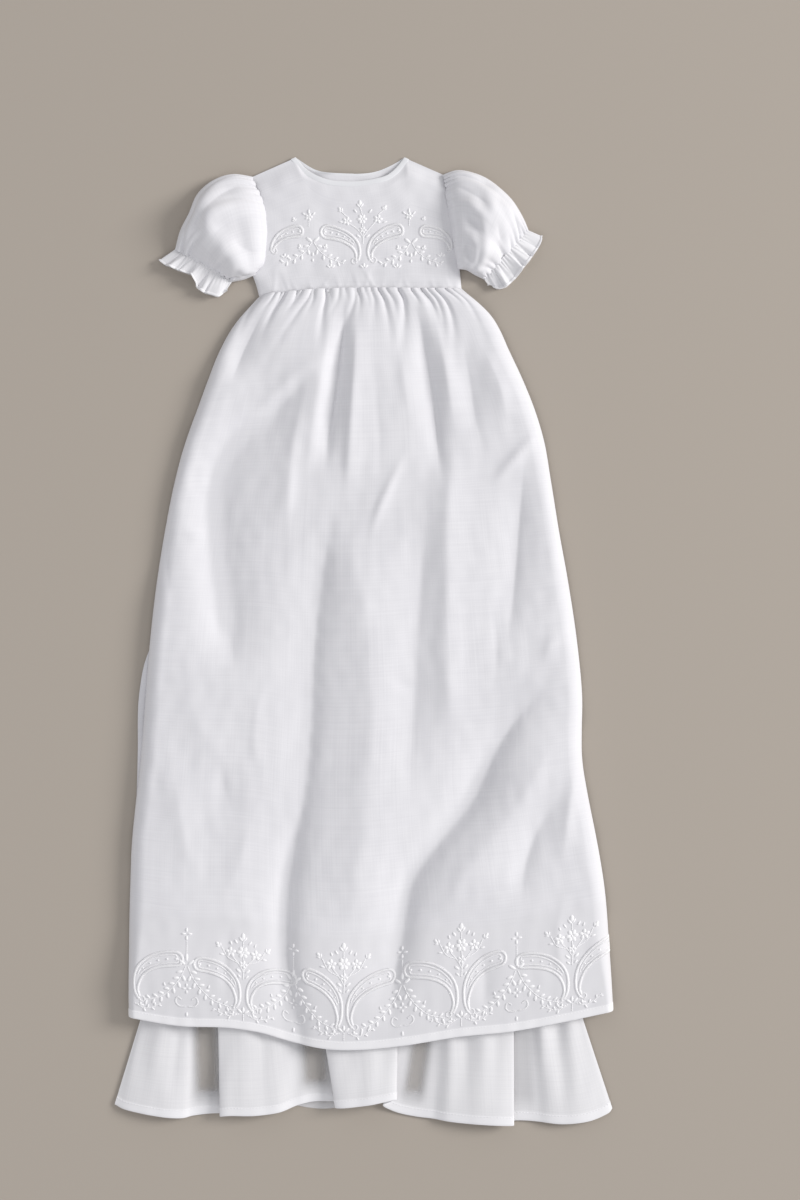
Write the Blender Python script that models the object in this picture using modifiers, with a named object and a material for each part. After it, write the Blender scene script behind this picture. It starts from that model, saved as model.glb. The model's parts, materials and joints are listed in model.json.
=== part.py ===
"""A baby's christening gown laid flat on its back, face up, as solids of cloth.

Frame: +X to the right as seen from above, +Y towards the neck, +Z up. The origin is the middle of
the gown's outline on the surface it lies on. Sizes in this file are millimetres until mesh_panel
turns them into metres.

The gown has a high bodice, two puffed sleeves with frills, a gathered skirt, and an underskirt
whose flounce shows below the skirt's hem. Each panel is a grid bent to its shape and thickened.
"""

import math

import bmesh
import bpy
import numpy as np

MM = 0.001

# Cloth and the air between its layers
WALL = 1.0
FRILL_WALL = 0.8
AIR = 0.4
LAYER = WALL + AIR

# Levels along the gown, from the neck down to the flounce
WAIST_Y = 351.0
FLOUNCE_SEAM_Y = -330.0
BACK_FLOUNCE_SEAM_Y = -262.0

UNDERSKIRT_HALF_HEM = 203.0
UNDERSKIRT_HALF_WAIST = 88.0

# Heights of the lower side of each layer, from the surface up
SKIRT_BACK_Z = 0.0
UNDERSKIRT_BACK_Z = SKIRT_BACK_Z + LAYER
UNDERSKIRT_FRONT_Z = UNDERSKIRT_BACK_Z + LAYER
SKIRT_FRONT_Z = UNDERSKIRT_FRONT_Z + LAYER
HEM_LIFT = 5.6          # the flounce under the skirt's hem lifts it this much more
BODICE_FRONT_Z = 4.9
SEAM_EDGE_Z = 1.5       # where a front panel comes down onto the back one
OPENING_LIFT = 2.0      # the buttons lift the back opening off the surface
BUTTON_R = 3.8
BUTTON_H = 1.4
BINDING_W = 5.6
BINDING_GAP = 1.6
BINDING_SHOULDER_Z = 2.7
BINDING_RISE = 4.6

# Skirt sides: how far down the gown, then the left and the right edge
SIDE_ROWS = (
    # y, left x, right x
    (-400, -232, 250),
    (-370, -233, 249),
    (-300, -233, 245),
    (-250, -232, 241),
    (-200, -230, 233),
    (-160, -226, 225),
    (-125, -222, 219),
    (-50, -216, 218),
    (0, -212, 213),
    (60, -205, 204),
    (110, -197, 195),
    (160, -187, 187),
    (200, -176, 180),
    (230, -165, 171),
    (260, -154, 159),
    (290, -142, 145),
    (310, -131, 136),
    (330, -116, 123),
    (341, -105, 112),
    (350, -98, 98),
)
# The skirt back shows past the front's left edge here: y, how far
BACK_PEEK_ROWS = ((-200, -1.0), (-160, 2.0), (-110, 6.0), (-50, 9.0), (-20, 6.0), (4, -1.0))
BACK_INSET = 1.5        # how far inside the front's edges it lies elsewhere
BACK_HEM_Y = -368.0
# Hem of the skirt front: x, y
HEM_ROWS = (
    (-233, -375), (-186, -383), (-126, -386), (-103, -390), (-70, -400), (-30, -407),
    (0, -407), (40, -403), (97, -394), (147, -389), (197, -380), (249, -369),
)
# Waist seam: x, y
WAIST_ROWS = ((-103, 342), (-92, 346), (-73, 348), (-53, 350), (-30, 351), (98, 351))

# Soft folds of the skirt front. height is up for a ridge and down for a trough; left and right are
# how far it spreads to each side of its line; the line runs from its first point to its last.
SKIRT_FOLDS = (
    # name, height, left, right, line
    ("centre_pleat", -6.0, 7, 6, ((-12, 347), (-18, 300), (-24, 240), (-31, 197), (-35, 150))),
    ("centre_roll", 4.5, 6, 12, ((-2, 347), (-5, 278), (-3, 230), (-6, 195), (-12, 130))),
    ("right_pleat", -4.5, 7, 5, ((53, 347), (63, 308), (70, 262), (76, 222), (83, 120))),
    ("right_roll", 5.0, 9, 12, ((76, 347), (84, 295), (93, 240), (99, 178), (98, 7), (113, -86))),
    ("right_tuck", -5.0, 8, 7, ((84, 347), (91, 301), (99, 262), (109, 213), (130, 177))),
    ("right_puff", 4.0, 16, 14, ((108, 335), (148, 260), (166, 212))),
    ("right_dimple", -4.0, 13, 13, ((122, 235), (148, 172))),
    ("right_ridge", 5.0, 8, 6, ((184, 211), (158, 184), (120, 146))),
    ("left_pleat", -6.0, 13, 10, ((-74, 347), (-85, 318), (-101, 290), (-131, 247))),
    ("left_roll", 4.5, 13, 13, ((-40, 298), (-62, 265), (-100, 237), (-142, 218))),
    ("left_hollow", -5.0, 18, 18,
     ((-38, 262), (-72, 225), (-117, 190), (-146, 160), (-130, 67), (-106, 5))),
    ("left_edge_swell", 3.0, 12, 14, ((-166, 200), (-172, 140), (-182, 40), (-184, -20), (-160, -90))),
    ("middle_hollow", -6.0, 13, 11, ((-22, 60), (-36, 7), (-40, -86), (-50, -160), (-65, -250), (-66, -385))),
    ("middle_swell", 5.0, 20, 22, ((-2, 85), (30, 14), (26, -66), (20, -175), (8, -260), (-10, -345))),
    ("right_hollow", -4.5, 11, 11, ((75, 45), (73, 0), (65, -60), (58, -152))),
    ("diagonal_hollow", -7.0, 14, 16, ((212, -48), (178, -78), (143, -125), (89, -190), (43, -263), (36, -310))),
    ("diagonal_swell", 5.0, 15, 15, ((210, -130), (178, -160), (138, -210), (103, -246), (78, -290))),
    ("lower_hollow", -4.5, 10, 12, ((206, -172), (178, -198), (160, -220), (146, -272))),
    ("left_lower_swell", 3.5, 10, 10, ((-202, -100), (-190, -160), (-176, -206), (-170, -255))),
    ("left_lower_hollow", -3.0, 9, 9, ((-158, -115), (-138, -160), (-122, -195))),
)
SKIRT_LOFT = 4.0        # mean height of the skirt front over the layers under it
GATHER_DEPTH = 3.52
GATHER_START_X = -14.0  # a valley between two gathers
GATHER_PITCH = 22.0     # width of one main gather at the waist
GATHER_REACH = 75.0     # how far below the waist the gathers run out

# The flounce's folds from left to right. x_hem and x_top are where each point of the section is at
# the flounce's own hem and where it comes out from under the skirt; z is its height; y is its hem.
FLOUNCE_FOLDS = (
    # x_hem, x_top,    z,    y
    (-248, -226, 1.6, -464),
    (-236, -219, 5.0, -469),
    (-205, -195, 8.5, -475),
    (-182, -178, 7.0, -477),
    (-169, -168, 2.0, -475),
    (-150, -152, 1.4, -473),
    (-130, -134, 1.4, -473),
    (-124, -128, 3.4, -473),
    (-132, -134, 6.0, -474),
    (-142, -144, 8.4, -475),
    (-132, -136, 10.6, -474),
    (-108, -112, 11.0, -474),
    (-84, -92, 9.0, -471),
    (-64, -72, 4.0, -464),
    (-48, -58, 1.6, -461),
    (-28, -44, 1.4, -461),
    (-10, -24, 1.4, -462),
    (-4, -18, 3.8, -463),
    (-14, -26, 7.0, -464),
    (-27, -39, 9.6, -466),
    (-18, -30, 12.6, -466),
    (6, 0, 14.0, -463),
    (26, 25, 13.0, -459),
    (33, 34, 10.2, -458),
    (26, 30, 7.2, -461),
    (20, 36, 4.2, -465),
    (34, 50, 1.8, -472),
    (52, 60, 1.4, -476),
    (70, 70, 3.0, -478),
    (92, 88, 8.0, -481),
    (120, 114, 11.0, -483),
    (142, 138, 10.4, -484),
    (150, 150, 7.8, -484),
    (140, 141, 4.6, -482),
    (142, 142, 1.8, -481),
    (158, 156, 1.4, -480),
    (176, 168, 3.0, -481),
    (200, 186, 7.0, -483),
    (226, 206, 6.4, -480),
    (244, 220, 3.6, -473),
    (249, 224, 1.6, -468),
)

# Half width of the flounce back at shares of its length from hem to seam
FLOUNCE_BACK_SHARES = (0.0, 0.34, 0.6, 1.0)
FLOUNCE_BACK_HALVES = (236.0, 217.0, 206.0, 203.0)

# Where the flounce's rows of facets lie, from its hem to its seam: close where it spreads out flat
FLOUNCE_ROWS = (0.0, 0.2, 0.4, 0.52, 0.60, 0.68, 0.80, 1.0)

# Bodice front outline, each stretch as points: x, y
SIDE_LEFT = ((-103, 342), (-106, 354), (-110, 365))
SIDE_RIGHT = ((98, 351), (97, 361), (96, 371))
ARMHOLE_LEFT = ((-110, 365), (-100, 376), (-98, 390), (-97, 408), (-99, 430), (-104, 446), (-112, 462))
ARMHOLE_RIGHT = ((96, 371), (92, 391), (88, 420), (84, 444), (82, 464))
SHOULDER_LEFT = ((-112, 462), (-88, 472), (-67, 482))
SHOULDER_RIGHT = ((82, 464), (64, 472), (41, 482))
NECK_FRONT = ((-67, 482), (-56, 470), (-39, 461), (-16, 458), (8, 460), (25, 465), (34, 473), (41, 482))
NECK_BACK = ((-67, 482), (-47, 470), (-18, 466), (12, 468), (33, 477), (41, 482))
OPENING_TOP_X = -17.0    # the centre-back opening at the neck and at the waist
OPENING_WAIST_X = -4.0
BACK_SHARE = 0.47        # how far along the back neckline the opening is
NECK_LENGTH = 112.0      # of the back neckline
BACK_NECK_Y = 455.0      # top of the row of buttons
BUTTON_SHARES = (0.12, 0.5, 0.88)   # places of the buttons from the waist up to there
OPENING_LAP = 7.0        # each back half runs this far past the opening's line
BODICE_LOFT = 2.0
ARMHOLE_Z = 9.0          # height of the bodice front's armhole edges, halfway up

# Sleeves: the armhole, then the upper and lower outline from it to the gathered cuff
SLEEVES = {
    "left": {
        "armhole": ARMHOLE_LEFT,
        "upper": ((-112, 463), (-131, 465), (-151, 458), (-165, 445), (-173, 426), (-182, 408), (-187, 389)),
        "lower": ((-111, 365), (-118, 361), (-131, 358)),
        "body_side": 1,
    },
    "right": {
        "armhole": ARMHOLE_RIGHT,
        "upper": ((82, 465), (94, 469), (114, 465), (134, 453), (149, 438), (160, 420), (165, 408)),
        "lower": ((97, 371), (104, 370), (112, 365), (122, 360)),
        "body_side": -1,
    },
}
# Height of the sleeve along its length, as share of length and height
SLEEVE_HEIGHTS = ((0.0, 10.0), (0.15, 22.0), (0.4, 33.0), (0.65, 32.0), (0.88, 19.0), (1.0, 9.5))
SLEEVE_EDGE_Z = 4.5
ARMHOLE_GAP = 1.3

CUFF_GAP = 2.0
FRILL_MEET_Z = 4.0

# Sleeve frills: the edge as places along the cuff's gathered line and out from it, with its height
FRILLS = {
    "left": (
        # along, out, z
        (-9, 17, 4), (-2, 18, 8), (6, 17, 11), (15, 16, 8), (27, 14, 12),
        (33, 20, 7), (40, 23, 5), (52, 22, 8), (61, 18, 6), (63, 10, 4),
    ),
    "right": (
        (-5, 14, 5), (2, 18, 9), (9, 19, 6), (15, 20, 8), (29, 21, 11),
        (43, 22, 7), (53, 21, 9), (60, 19, 6), (64, 11, 4), (66, 6, 3),
    ),
}

COTTON = ("cotton_lawn", (0.86, 0.86, 0.87), 0.85)
PEARL = ("pearl_button", (0.88, 0.86, 0.82), 0.3)


# ---------------------------------------------------------------- numbers
def through(stations, values, at):
    """Reads a smooth line through rows of (station, value) at one place or many."""
    stations = np.asarray(stations, float)
    values = np.asarray(values, float)
    slopes = np.gradient(values, stations, axis=0)
    i = np.clip(np.searchsorted(stations, at) - 1, 0, len(stations) - 2)
    step = stations[i + 1] - stations[i]
    t = (np.clip(at, stations[0], stations[-1]) - stations[i]) / step
    if values.ndim > 1:
        t, step = t[..., None], step[..., None]
    return (
        (2 * t**3 - 3 * t**2 + 1) * values[i]
        + (t**3 - 2 * t**2 + t) * step * slopes[i]
        + (3 * t**2 - 2 * t**3) * values[i + 1]
        + (t**3 - t**2) * step * slopes[i + 1]
    )


def column(rows, i):
    return [row[i] for row in rows]


def path(points):
    """A function that gives the point at a share of the way along a smooth line through points."""
    points = np.asarray(points, float)
    lengths = np.linalg.norm(np.diff(points, axis=0), axis=1)
    stations = np.concatenate([[0], np.cumsum(lengths)]) / lengths.sum()
    return lambda share: through(stations, points, np.asarray(share, float))


def chain(*stretches):
    """One line made of several stretches that meet in corners. Each is (share of the whole, line)."""
    ends = np.cumsum([share for share, _ in stretches])

    def at(share):
        share = np.asarray(share, float)
        out = np.zeros(share.shape + (2,))
        start = 0.0
        for (size, line), end in zip(stretches, ends):
            here = (share >= start - 1e-9) & (share <= end + 1e-9)
            out[here] = line(np.clip((share[here] - start) / size, 0, 1))
            start = end
        return out

    return at


def filled(bottom, top, left, right):
    """A flat panel between four outlines (a Coons patch): (u, v) from its lower left corner to x, y."""

    def at(u, v):
        u, v = np.broadcast_arrays(np.asarray(u, float), np.asarray(v, float))
        across = (1 - v)[..., None] * bottom(u) + v[..., None] * top(u)
        along = (1 - u)[..., None] * left(v) + u[..., None] * right(v)
        ends = np.array(0.0)
        for a, b, corner in (
            (1 - u, 1 - v, bottom(np.array(0.0))),
            (u, 1 - v, bottom(np.array(1.0))),
            (1 - u, v, top(np.array(0.0))),
            (u, v, top(np.array(1.0))),
        ):
            ends = ends + (a * b)[..., None] * corner
        return across + along - ends

    return at


def smoothstep(low, high, value):
    t = np.clip((value - low) / (high - low), 0, 1)
    return t * t * (3 - 2 * t)


def fold(x, y, height, left, right, line):
    """The height that one soft fold adds at x, y: full along its line, fading at both ends."""
    samples = path(line)(np.linspace(0, 1, 25))
    a, b = samples[:-1], samples[1:]
    run = b - a
    best = np.full(np.shape(x), 1e9)
    side = np.zeros(np.shape(x))
    share = np.zeros(np.shape(x))
    for i in range(len(a)):
        px, py = x - a[i, 0], y - a[i, 1]
        t = np.clip((px * run[i, 0] + py * run[i, 1]) / (run[i] @ run[i]), 0, 1)
        dx, dy = px - t * run[i, 0], py - t * run[i, 1]
        far = np.hypot(dx, dy)
        nearer = far < best
        best = np.where(nearer, far, best)
        side = np.where(nearer, np.sign(run[i, 0] * py - run[i, 1] * px), side)
        share = np.where(nearer, (i + t) / len(a), share)
    # side is positive to the left of the line's direction, which is the east of a line that runs down
    spread = np.where(side > 0, right, left)
    ends = smoothstep(0.0, 0.12, share + 0.03) * smoothstep(0.0, 0.25, 1.03 - share)
    return height * np.exp(-((best / spread) ** 2)) * ends


# ---------------------------------------------------------------- shapes of the panels
def rolled(distance, radius):
    """0 at a panel's edge, rising to 1 over a rounded side."""
    t = np.clip(distance / radius, 0, 1)
    return np.sqrt(1 - (1 - t) ** 2)


def crowded(u):
    """Shares across a panel, closer together near its two edges."""
    return u - 0.55 * np.sin(2 * math.pi * u) / (2 * math.pi)


def side_x(y, edge):
    rows = sorted(SIDE_ROWS)
    return through(column(rows, 0), column(rows, edge), y)


def skirt_side(edge, low_y, high_y):
    ys = np.linspace(low_y, high_y, 24)
    return path(np.stack([side_x(ys, edge), ys], axis=1))


def skirt_front(u, v):
    hem, waist = path(HEM_ROWS), path(WAIST_ROWS)
    left = skirt_side(1, HEM_ROWS[0][1], WAIST_ROWS[0][1])
    right = skirt_side(2, HEM_ROWS[-1][1], WAIST_ROWS[-1][1])
    xy = filled(hem, waist, left, right)(crowded(u), v)
    x, y = xy[..., 0], xy[..., 1] - AIR
    z = np.full(np.shape(x), SKIRT_LOFT)
    for _, height, spread_left, spread_right, line in SKIRT_FOLDS:
        z += fold(x, y, height, spread_left, spread_right, line)
    pitch = GATHER_PITCH * (1 + 0.9 * (1 - v))     # gathers spread apart down the skirt
    gather = 0.5 - 0.5 * np.cos(2 * math.pi * (x - GATHER_START_X) / pitch)
    reach = smoothstep(WAIST_Y - GATHER_REACH, WAIST_Y, y)
    z = z * (1 - 0.75 * reach) + GATHER_DEPTH * gather * reach
    z = np.log1p(np.exp(z))     # never below the layers under it
    base = SKIRT_FRONT_Z + HEM_LIFT * smoothstep(FLOUNCE_SEAM_Y + 60, FLOUNCE_SEAM_Y - 30, y)
    near = np.minimum(x - side_x(y, 1), side_x(y, 2) - x)
    edge = SEAM_EDGE_Z + 3.2 * smoothstep(FLOUNCE_SEAM_Y + 20, FLOUNCE_SEAM_Y - 35, y)
    radius = 11 - 5 * smoothstep(-300, -370, y)
    return x, y, edge + (base + z - edge) * rolled(near + 0.01, radius)


def skirt_back(u, v):
    """Flat on the surface, just inside the front's edges but for one stretch of its left side."""
    y = BACK_HEM_Y + (WAIST_Y - 3 - BACK_HEM_Y) * v
    peek = through(column(BACK_PEEK_ROWS, 0), column(BACK_PEEK_ROWS, 1), y)
    left = side_x(y, 1) + BACK_INSET - np.maximum(peek, 0)
    right = side_x(y, 2) - BACK_INSET
    waist_dip = 6.0 * smoothstep(0.5, 0, u) * v
    return left + (right - left) * u, y - waist_dip, np.full(np.shape(u), SKIRT_BACK_Z)


def underskirt(level, low_y):
    def at(u, v):
        half = UNDERSKIRT_HALF_HEM - (UNDERSKIRT_HALF_HEM - UNDERSKIRT_HALF_WAIST) * v
        y = low_y + AIR + (WAIST_Y - 9 - low_y) * v
        return half * (2 * u - 1), y, np.full(np.shape(u), level)

    return at


def flounce_front(u, v):
    """v is 0 at the flounce's hem and 1 at its seam, under the skirt."""
    rows = np.array(FLOUNCE_FOLDS, float)
    v = np.interp(v, np.linspace(0, 1, len(FLOUNCE_ROWS)), FLOUNCE_ROWS)
    stations = np.linspace(0, 1, len(rows))
    section = through(stations, rows, u)
    x_hem, x_top, z, y_hem = (section[..., i] for i in range(4))
    seam_y = FLOUNCE_SEAM_Y - AIR
    y = y_hem + (seam_y - y_hem) * v
    shown = (-392 - y_hem) / (seam_y - y_hem)     # the share of its length below the skirt's hem
    x = x_hem + (x_top - x_hem) * np.minimum(v / shown, 1.3)
    spread = smoothstep(shown - 0.05, shown + 0.16, v)
    x = x + (UNDERSKIRT_HALF_HEM * (2 * u - 1) - x) * spread
    low = np.minimum(z, 1.4)
    tall = (z - low) * (1 - 0.42 * smoothstep(0, shown, v)) * (1 - 0.75 * smoothstep(shown + 0.12, 0.9, v))
    climb = smoothstep(0.45, 0.72, v)
    return x, y, low * (1 - climb) + tall + UNDERSKIRT_FRONT_Z * climb


def flounce_back(u, v):
    """Flat on the surface under the flounce front. Its hem peeps out where the front's hem is lifted."""
    half = np.interp(v, FLOUNCE_BACK_SHARES, FLOUNCE_BACK_HALVES)
    x = half * (2 * u - 1)
    hem_y = -460 - 8.5 * np.exp(-(((x + 40) / 38) ** 2))
    y = hem_y + (BACK_FLOUNCE_SEAM_Y - AIR - hem_y) * v
    return x, y, UNDERSKIRT_BACK_Z * smoothstep(-392, -376, y)


def neck_inner(line, width):
    """The panel's neck edge, set back from the finished neckline by the binding's width."""
    outline = path(line)

    def at(share):
        share = np.clip(np.asarray(share, float), 0, 1)
        here = outline(share)
        step = outline(np.clip(share + 0.01, 0, 1)) - outline(np.clip(share - 0.01, 0, 1))
        step /= np.linalg.norm(step, axis=-1, keepdims=True)
        out = np.stack([step[..., 1], -step[..., 0]], axis=-1)   # away from the neck's opening
        lean = 1 - np.abs(2 * share - 1) ** 6
        shoulder = np.stack([np.sign(share - 0.5) * 0.9, np.full(share.shape, -0.42)], axis=-1)
        out = out * lean[..., None] + shoulder * (1 - lean)[..., None]
        return here + out * width

    return at


def bodice_outline(neck, corner):
    """Top edge of a bodice panel: shoulder, neck, shoulder, with corners at two shares of its width."""
    inner = neck_inner(neck, BINDING_W + BINDING_GAP)
    ends = inner(np.array([0.0, 1.0]))
    left = path((SHOULDER_LEFT[0], ends[0]))
    right = path((ends[1], SHOULDER_RIGHT[0]))
    return chain((corner, left), (1 - 2 * corner, inner), (corner, right))


def bodice_front(u, v):
    left = chain((0.25, path(SIDE_LEFT)), (0.75, path(ARMHOLE_LEFT)))
    right = chain((0.25, path(SIDE_RIGHT)), (0.75, path(ARMHOLE_RIGHT)))
    top = bodice_outline(NECK_FRONT, 0.25)
    xy = filled(path(WAIST_ROWS), top, left, right)(u, v)
    x, y = xy[..., 0], xy[..., 1]
    from_side = np.minimum(u, 1 - u)
    side = rolled(from_side, 0.10)
    armhole = ARMHOLE_Z * np.sin(math.pi * np.clip((v - 0.1) / 0.9, 0, 1)) ** 0.8
    edge = SEAM_EDGE_Z + np.maximum(armhole - SEAM_EDGE_Z, 0)
    middle = BODICE_FRONT_Z + BODICE_LOFT * (1 - 0.5 * v) * np.sin(math.pi * np.clip(v, 0.08, 0.92))
    z = edge + (middle - edge) * side
    shoulder = smoothstep(1.0, 0.86, v) + 0.95 * smoothstep(0.25, 0.40, from_side) * (v > 0.8)
    z = SEAM_EDGE_Z + (z - SEAM_EDGE_Z) * np.clip(shoulder, 0, 1)
    return x, y, z


def opening_x(y):
    return through((WAIST_Y, 466), (OPENING_WAIST_X, OPENING_TOP_X), y)


def bodice_back(half):
    """One back half; the left one laps over the right one on the inside of the gown."""
    corner = 0.45
    sign = -1 if half == "left" else 1

    def at(u, v):
        """u runs from the side seam to the opening's edge."""
        side_line, armhole = (
            (SIDE_LEFT, ARMHOLE_LEFT) if half == "left" else (SIDE_RIGHT, ARMHOLE_RIGHT)
        )
        side = chain((0.25, path(side_line)), (0.75, path(armhole)))
        inner = neck_inner(NECK_BACK, BINDING_W + BINDING_GAP)
        mid_share = BACK_SHARE - sign * OPENING_LAP / NECK_LENGTH

        def neck_share(s):
            return s * mid_share if half == "left" else 1 - s * (1 - mid_share)

        shoulder_tip = SHOULDER_LEFT[0] if half == "left" else SHOULDER_RIGHT[0]
        start = inner(np.array(neck_share(0.0)))
        top = chain(
            (corner, path((shoulder_tip, start))),
            (1 - corner, lambda s: inner(neck_share(s))),
        )
        top_end = top(np.array(1.0))
        waist_end = np.array([OPENING_WAIST_X - sign * OPENING_LAP, WAIST_Y])
        waist = path((side_line[0], ((side_line[0][0] + waist_end[0]) / 2, 350), waist_end))
        xy = filled(waist, top, side, path((waist_end, top_end)))(u, v)
        x, y = xy[..., 0], xy[..., 1]
        lift = OPENING_LIFT * smoothstep(40, 20, np.abs(x - opening_x(y)))
        if half == "left":
            lift = lift + LAYER * smoothstep(34, 16, np.abs(x - opening_x(y)))
        return x, y, lift

    return at


def neck_binding(u, v):
    """u runs round the neck from one edge of the back opening to the other; v is across the binding."""
    around = np.minimum(u, 1 - u)
    on_front = around >= 0.25
    from_right = BACK_SHARE - OPENING_LAP / NECK_LENGTH
    from_left = BACK_SHARE + OPENING_LAP / NECK_LENGTH
    s_right = from_right + (1 - from_right) * (u / 0.25)
    s_left = from_left * (u - 0.75) / 0.25
    s_back = np.clip(np.where(u < 0.5, s_right, s_left), 0, 1)
    s_front = 1 - (u - 0.25) / 0.5
    front, front_inner = path(NECK_FRONT)(s_front), neck_inner(NECK_FRONT, BINDING_W)(s_front)
    back, back_inner = path(NECK_BACK)(s_back), neck_inner(NECK_BACK, BINDING_W)(s_back)
    edge = np.where(on_front[..., None], front, back)
    inner = np.where(on_front[..., None], front_inner, back_inner)
    xy = edge + (inner - edge) * v[..., None]
    front_z = BINDING_SHOULDER_Z + BINDING_RISE * np.clip(np.sin(2 * math.pi * (u - 0.25)), 0, 1) ** 0.5
    at_opening = smoothstep(0.16, 0.07, around)
    back_z = WALL + 0.2 + OPENING_LIFT * at_opening + LAYER * at_opening * (u > 0.5)
    return xy[..., 0], xy[..., 1], np.where(on_front, front_z, back_z)


def sleeve(side):
    """u runs round the sleeve from its upper edge over the top; v from the armhole to the cuff."""
    form = SLEEVES[side]
    armhole, upper_line, lower_line = (path(form[edge]) for edge in ("armhole", "upper", "lower"))
    outward = -form["body_side"]

    def at(u, v):
        over = np.sin(2 * math.pi * u)
        chord = (1 - np.cos(2 * math.pi * u)) / 2
        upper, lower = upper_line(v), lower_line(v)
        xy = upper + (lower - upper) * chord[..., None]
        straight = upper_line(0.0) + (lower_line(0.0) - upper_line(0.0)) * chord[..., None]
        xy = xy + (armhole(1 - chord) - straight) * ((1 - v) ** 2)[..., None]
        height = through(column(SLEEVE_HEIGHTS, 0), column(SLEEVE_HEIGHTS, 1), v)
        edge = np.minimum(SLEEVE_EDGE_Z, height / 2)
        top = edge + (height - edge) * np.abs(over) ** 0.8
        under = edge * np.clip(1 - 1.8 * np.abs(over), 0, 1) ** 2
        seam = outward * ARMHOLE_GAP * (1 - v)
        return xy[..., 0] + seam, xy[..., 1], WALL + np.where(over >= 0, top, under)

    return at


def sleeve_frill(side):
    """u runs round the frill, over the top from the sleeve's upper edge; v out to its free edge."""
    form = SLEEVES[side]
    start = np.array(form["upper"][-1], float)
    end = np.array(form["lower"][-1], float)
    along = (end - start) / np.linalg.norm(end - start)
    out = np.array([along[1], -along[0]]) * form["body_side"]
    rows = np.array(FRILLS[side], float)
    edge = path(rows)

    def at(u, v):
        over = u <= 0.5
        share = np.where(over, 2 * u, 2 - 2 * u)
        at_edge = edge(share)
        cuff = start + (end - start) * share[..., None]
        cuff = cuff + out * CUFF_GAP
        place = start + along * at_edge[..., :1] + out * at_edge[..., 1:2]
        xy = cuff + (place - cuff) * v[..., None]
        cuff_z = 4.5 + 5.0 * np.sin(math.pi * share)
        lift = cuff_z + (at_edge[..., 2] - cuff_z) * v
        ripple = 0.6 * (1 + np.sin(5 * math.pi * share)) * v
        apart = np.sin(math.pi * share) ** 0.4     # 0 where the upper and lower layers meet
        top = FRILL_MEET_Z + (np.maximum(lift, ripple + 2.6) - FRILL_MEET_Z) * apart
        low = FRILL_MEET_Z + (ripple - FRILL_MEET_Z) * apart
        return xy[..., 0], xy[..., 1], FRILL_WALL + np.where(over, top, low)

    return at


# ---------------------------------------------------------------- objects
def material(spec):
    name, colour, roughness = spec
    made = bpy.data.materials.get(name)
    if made is None:
        made = bpy.data.materials.new(name)
        made.use_nodes = True
        shader = made.node_tree.nodes["Principled BSDF"]
        shader.inputs["Base Color"].default_value = (*colour, 1)
        shader.inputs["Roughness"].default_value = roughness
        shader.inputs["Metallic"].default_value = 0.0
    return made


def mesh_panel(name, shape, columns, rows, collection, wall=WALL, tube=False):
    """A grid of cloth bent by shape(u, v), then thickened upwards, or outwards if it is a tube."""
    bm = bmesh.new()
    bmesh.ops.create_grid(bm, x_segments=columns, y_segments=rows, size=0.5)
    verts = list(bm.verts)
    u = np.array([v.co.x for v in verts]) + 0.5
    v = np.array([v.co.y for v in verts]) + 0.5
    x, y, z = shape(u, v)
    for vert, px, py, pz in zip(verts, x, y, z):
        vert.co = (px * MM, py * MM, pz * MM)
    if tube:
        bmesh.ops.remove_doubles(bm, verts=bm.verts, dist=1e-5)
        bmesh.ops.recalc_face_normals(bm, faces=bm.faces)
    bm.normal_update()
    if not tube and sum(face.normal.z for face in bm.faces) < 0:
        bmesh.ops.reverse_faces(bm, faces=bm.faces)
    mesh = bpy.data.meshes.new(name)
    bm.to_mesh(mesh)
    bm.free()
    obj = bpy.data.objects.new(name, mesh)
    collection.objects.link(obj)
    solidify = obj.modifiers.new("Cloth", "SOLIDIFY")
    solidify.thickness = wall * MM
    solidify.offset = 1.0
    mesh.materials.append(material(COTTON))
    mesh.shade_smooth()
    return obj


def button(name, x, y, collection):
    """A small flat button under the back opening, on the outside of the gown."""
    bpy.ops.mesh.primitive_cylinder_add(
        vertices=20, radius=BUTTON_R * MM, depth=BUTTON_H * MM,
        location=(x * MM, y * MM, (BUTTON_H / 2) * MM),
    )
    obj = bpy.context.object
    obj.name = name
    for owner in list(obj.users_collection):
        owner.objects.unlink(obj)
    collection.objects.link(obj)
    bevel = obj.modifiers.new("Edge", "BEVEL")
    bevel.width = 0.35 * MM
    bevel.segments = 1
    obj.data.materials.append(material(PEARL))
    return obj


def build():
    for obj in list(bpy.data.objects):
        bpy.data.objects.remove(obj)
    gown = bpy.data.collections.new("christening_gown")
    bpy.context.scene.collection.children.link(gown)

    mesh_panel("skirt_back", skirt_back, 10, 14, gown)
    mesh_panel("underskirt_back", underskirt(UNDERSKIRT_BACK_Z, BACK_FLOUNCE_SEAM_Y), 4, 4, gown)
    mesh_panel("underskirt_front", underskirt(UNDERSKIRT_FRONT_Z, FLOUNCE_SEAM_Y), 4, 4, gown)
    mesh_panel("flounce_back", flounce_back, 20, 10, gown)
    mesh_panel("flounce_front", flounce_front, 80, len(FLOUNCE_ROWS) - 1, gown, FRILL_WALL)
    mesh_panel("skirt_front", skirt_front, 34, 17, gown)

    mesh_panel("bodice_back_right", bodice_back("right"), 10, 8, gown)
    mesh_panel("bodice_back_left", bodice_back("left"), 10, 8, gown)
    mesh_panel("bodice_front", bodice_front, 16, 10, gown)
    mesh_panel("neck_binding", neck_binding, 40, 1, gown)
    for side in SLEEVES:
        mesh_panel("sleeve_" + side, sleeve(side), 24, 8, gown, tube=True)
        mesh_panel("sleeve_frill_" + side, sleeve_frill(side), 40, 2, gown, FRILL_WALL, tube=True)

    for number, share in enumerate(BUTTON_SHARES, start=1):
        y = WAIST_Y + (BACK_NECK_Y - WAIST_Y) * share
        button(f"back_button_{number}", float(opening_x(np.array(y))), y, gown)


build()
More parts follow.
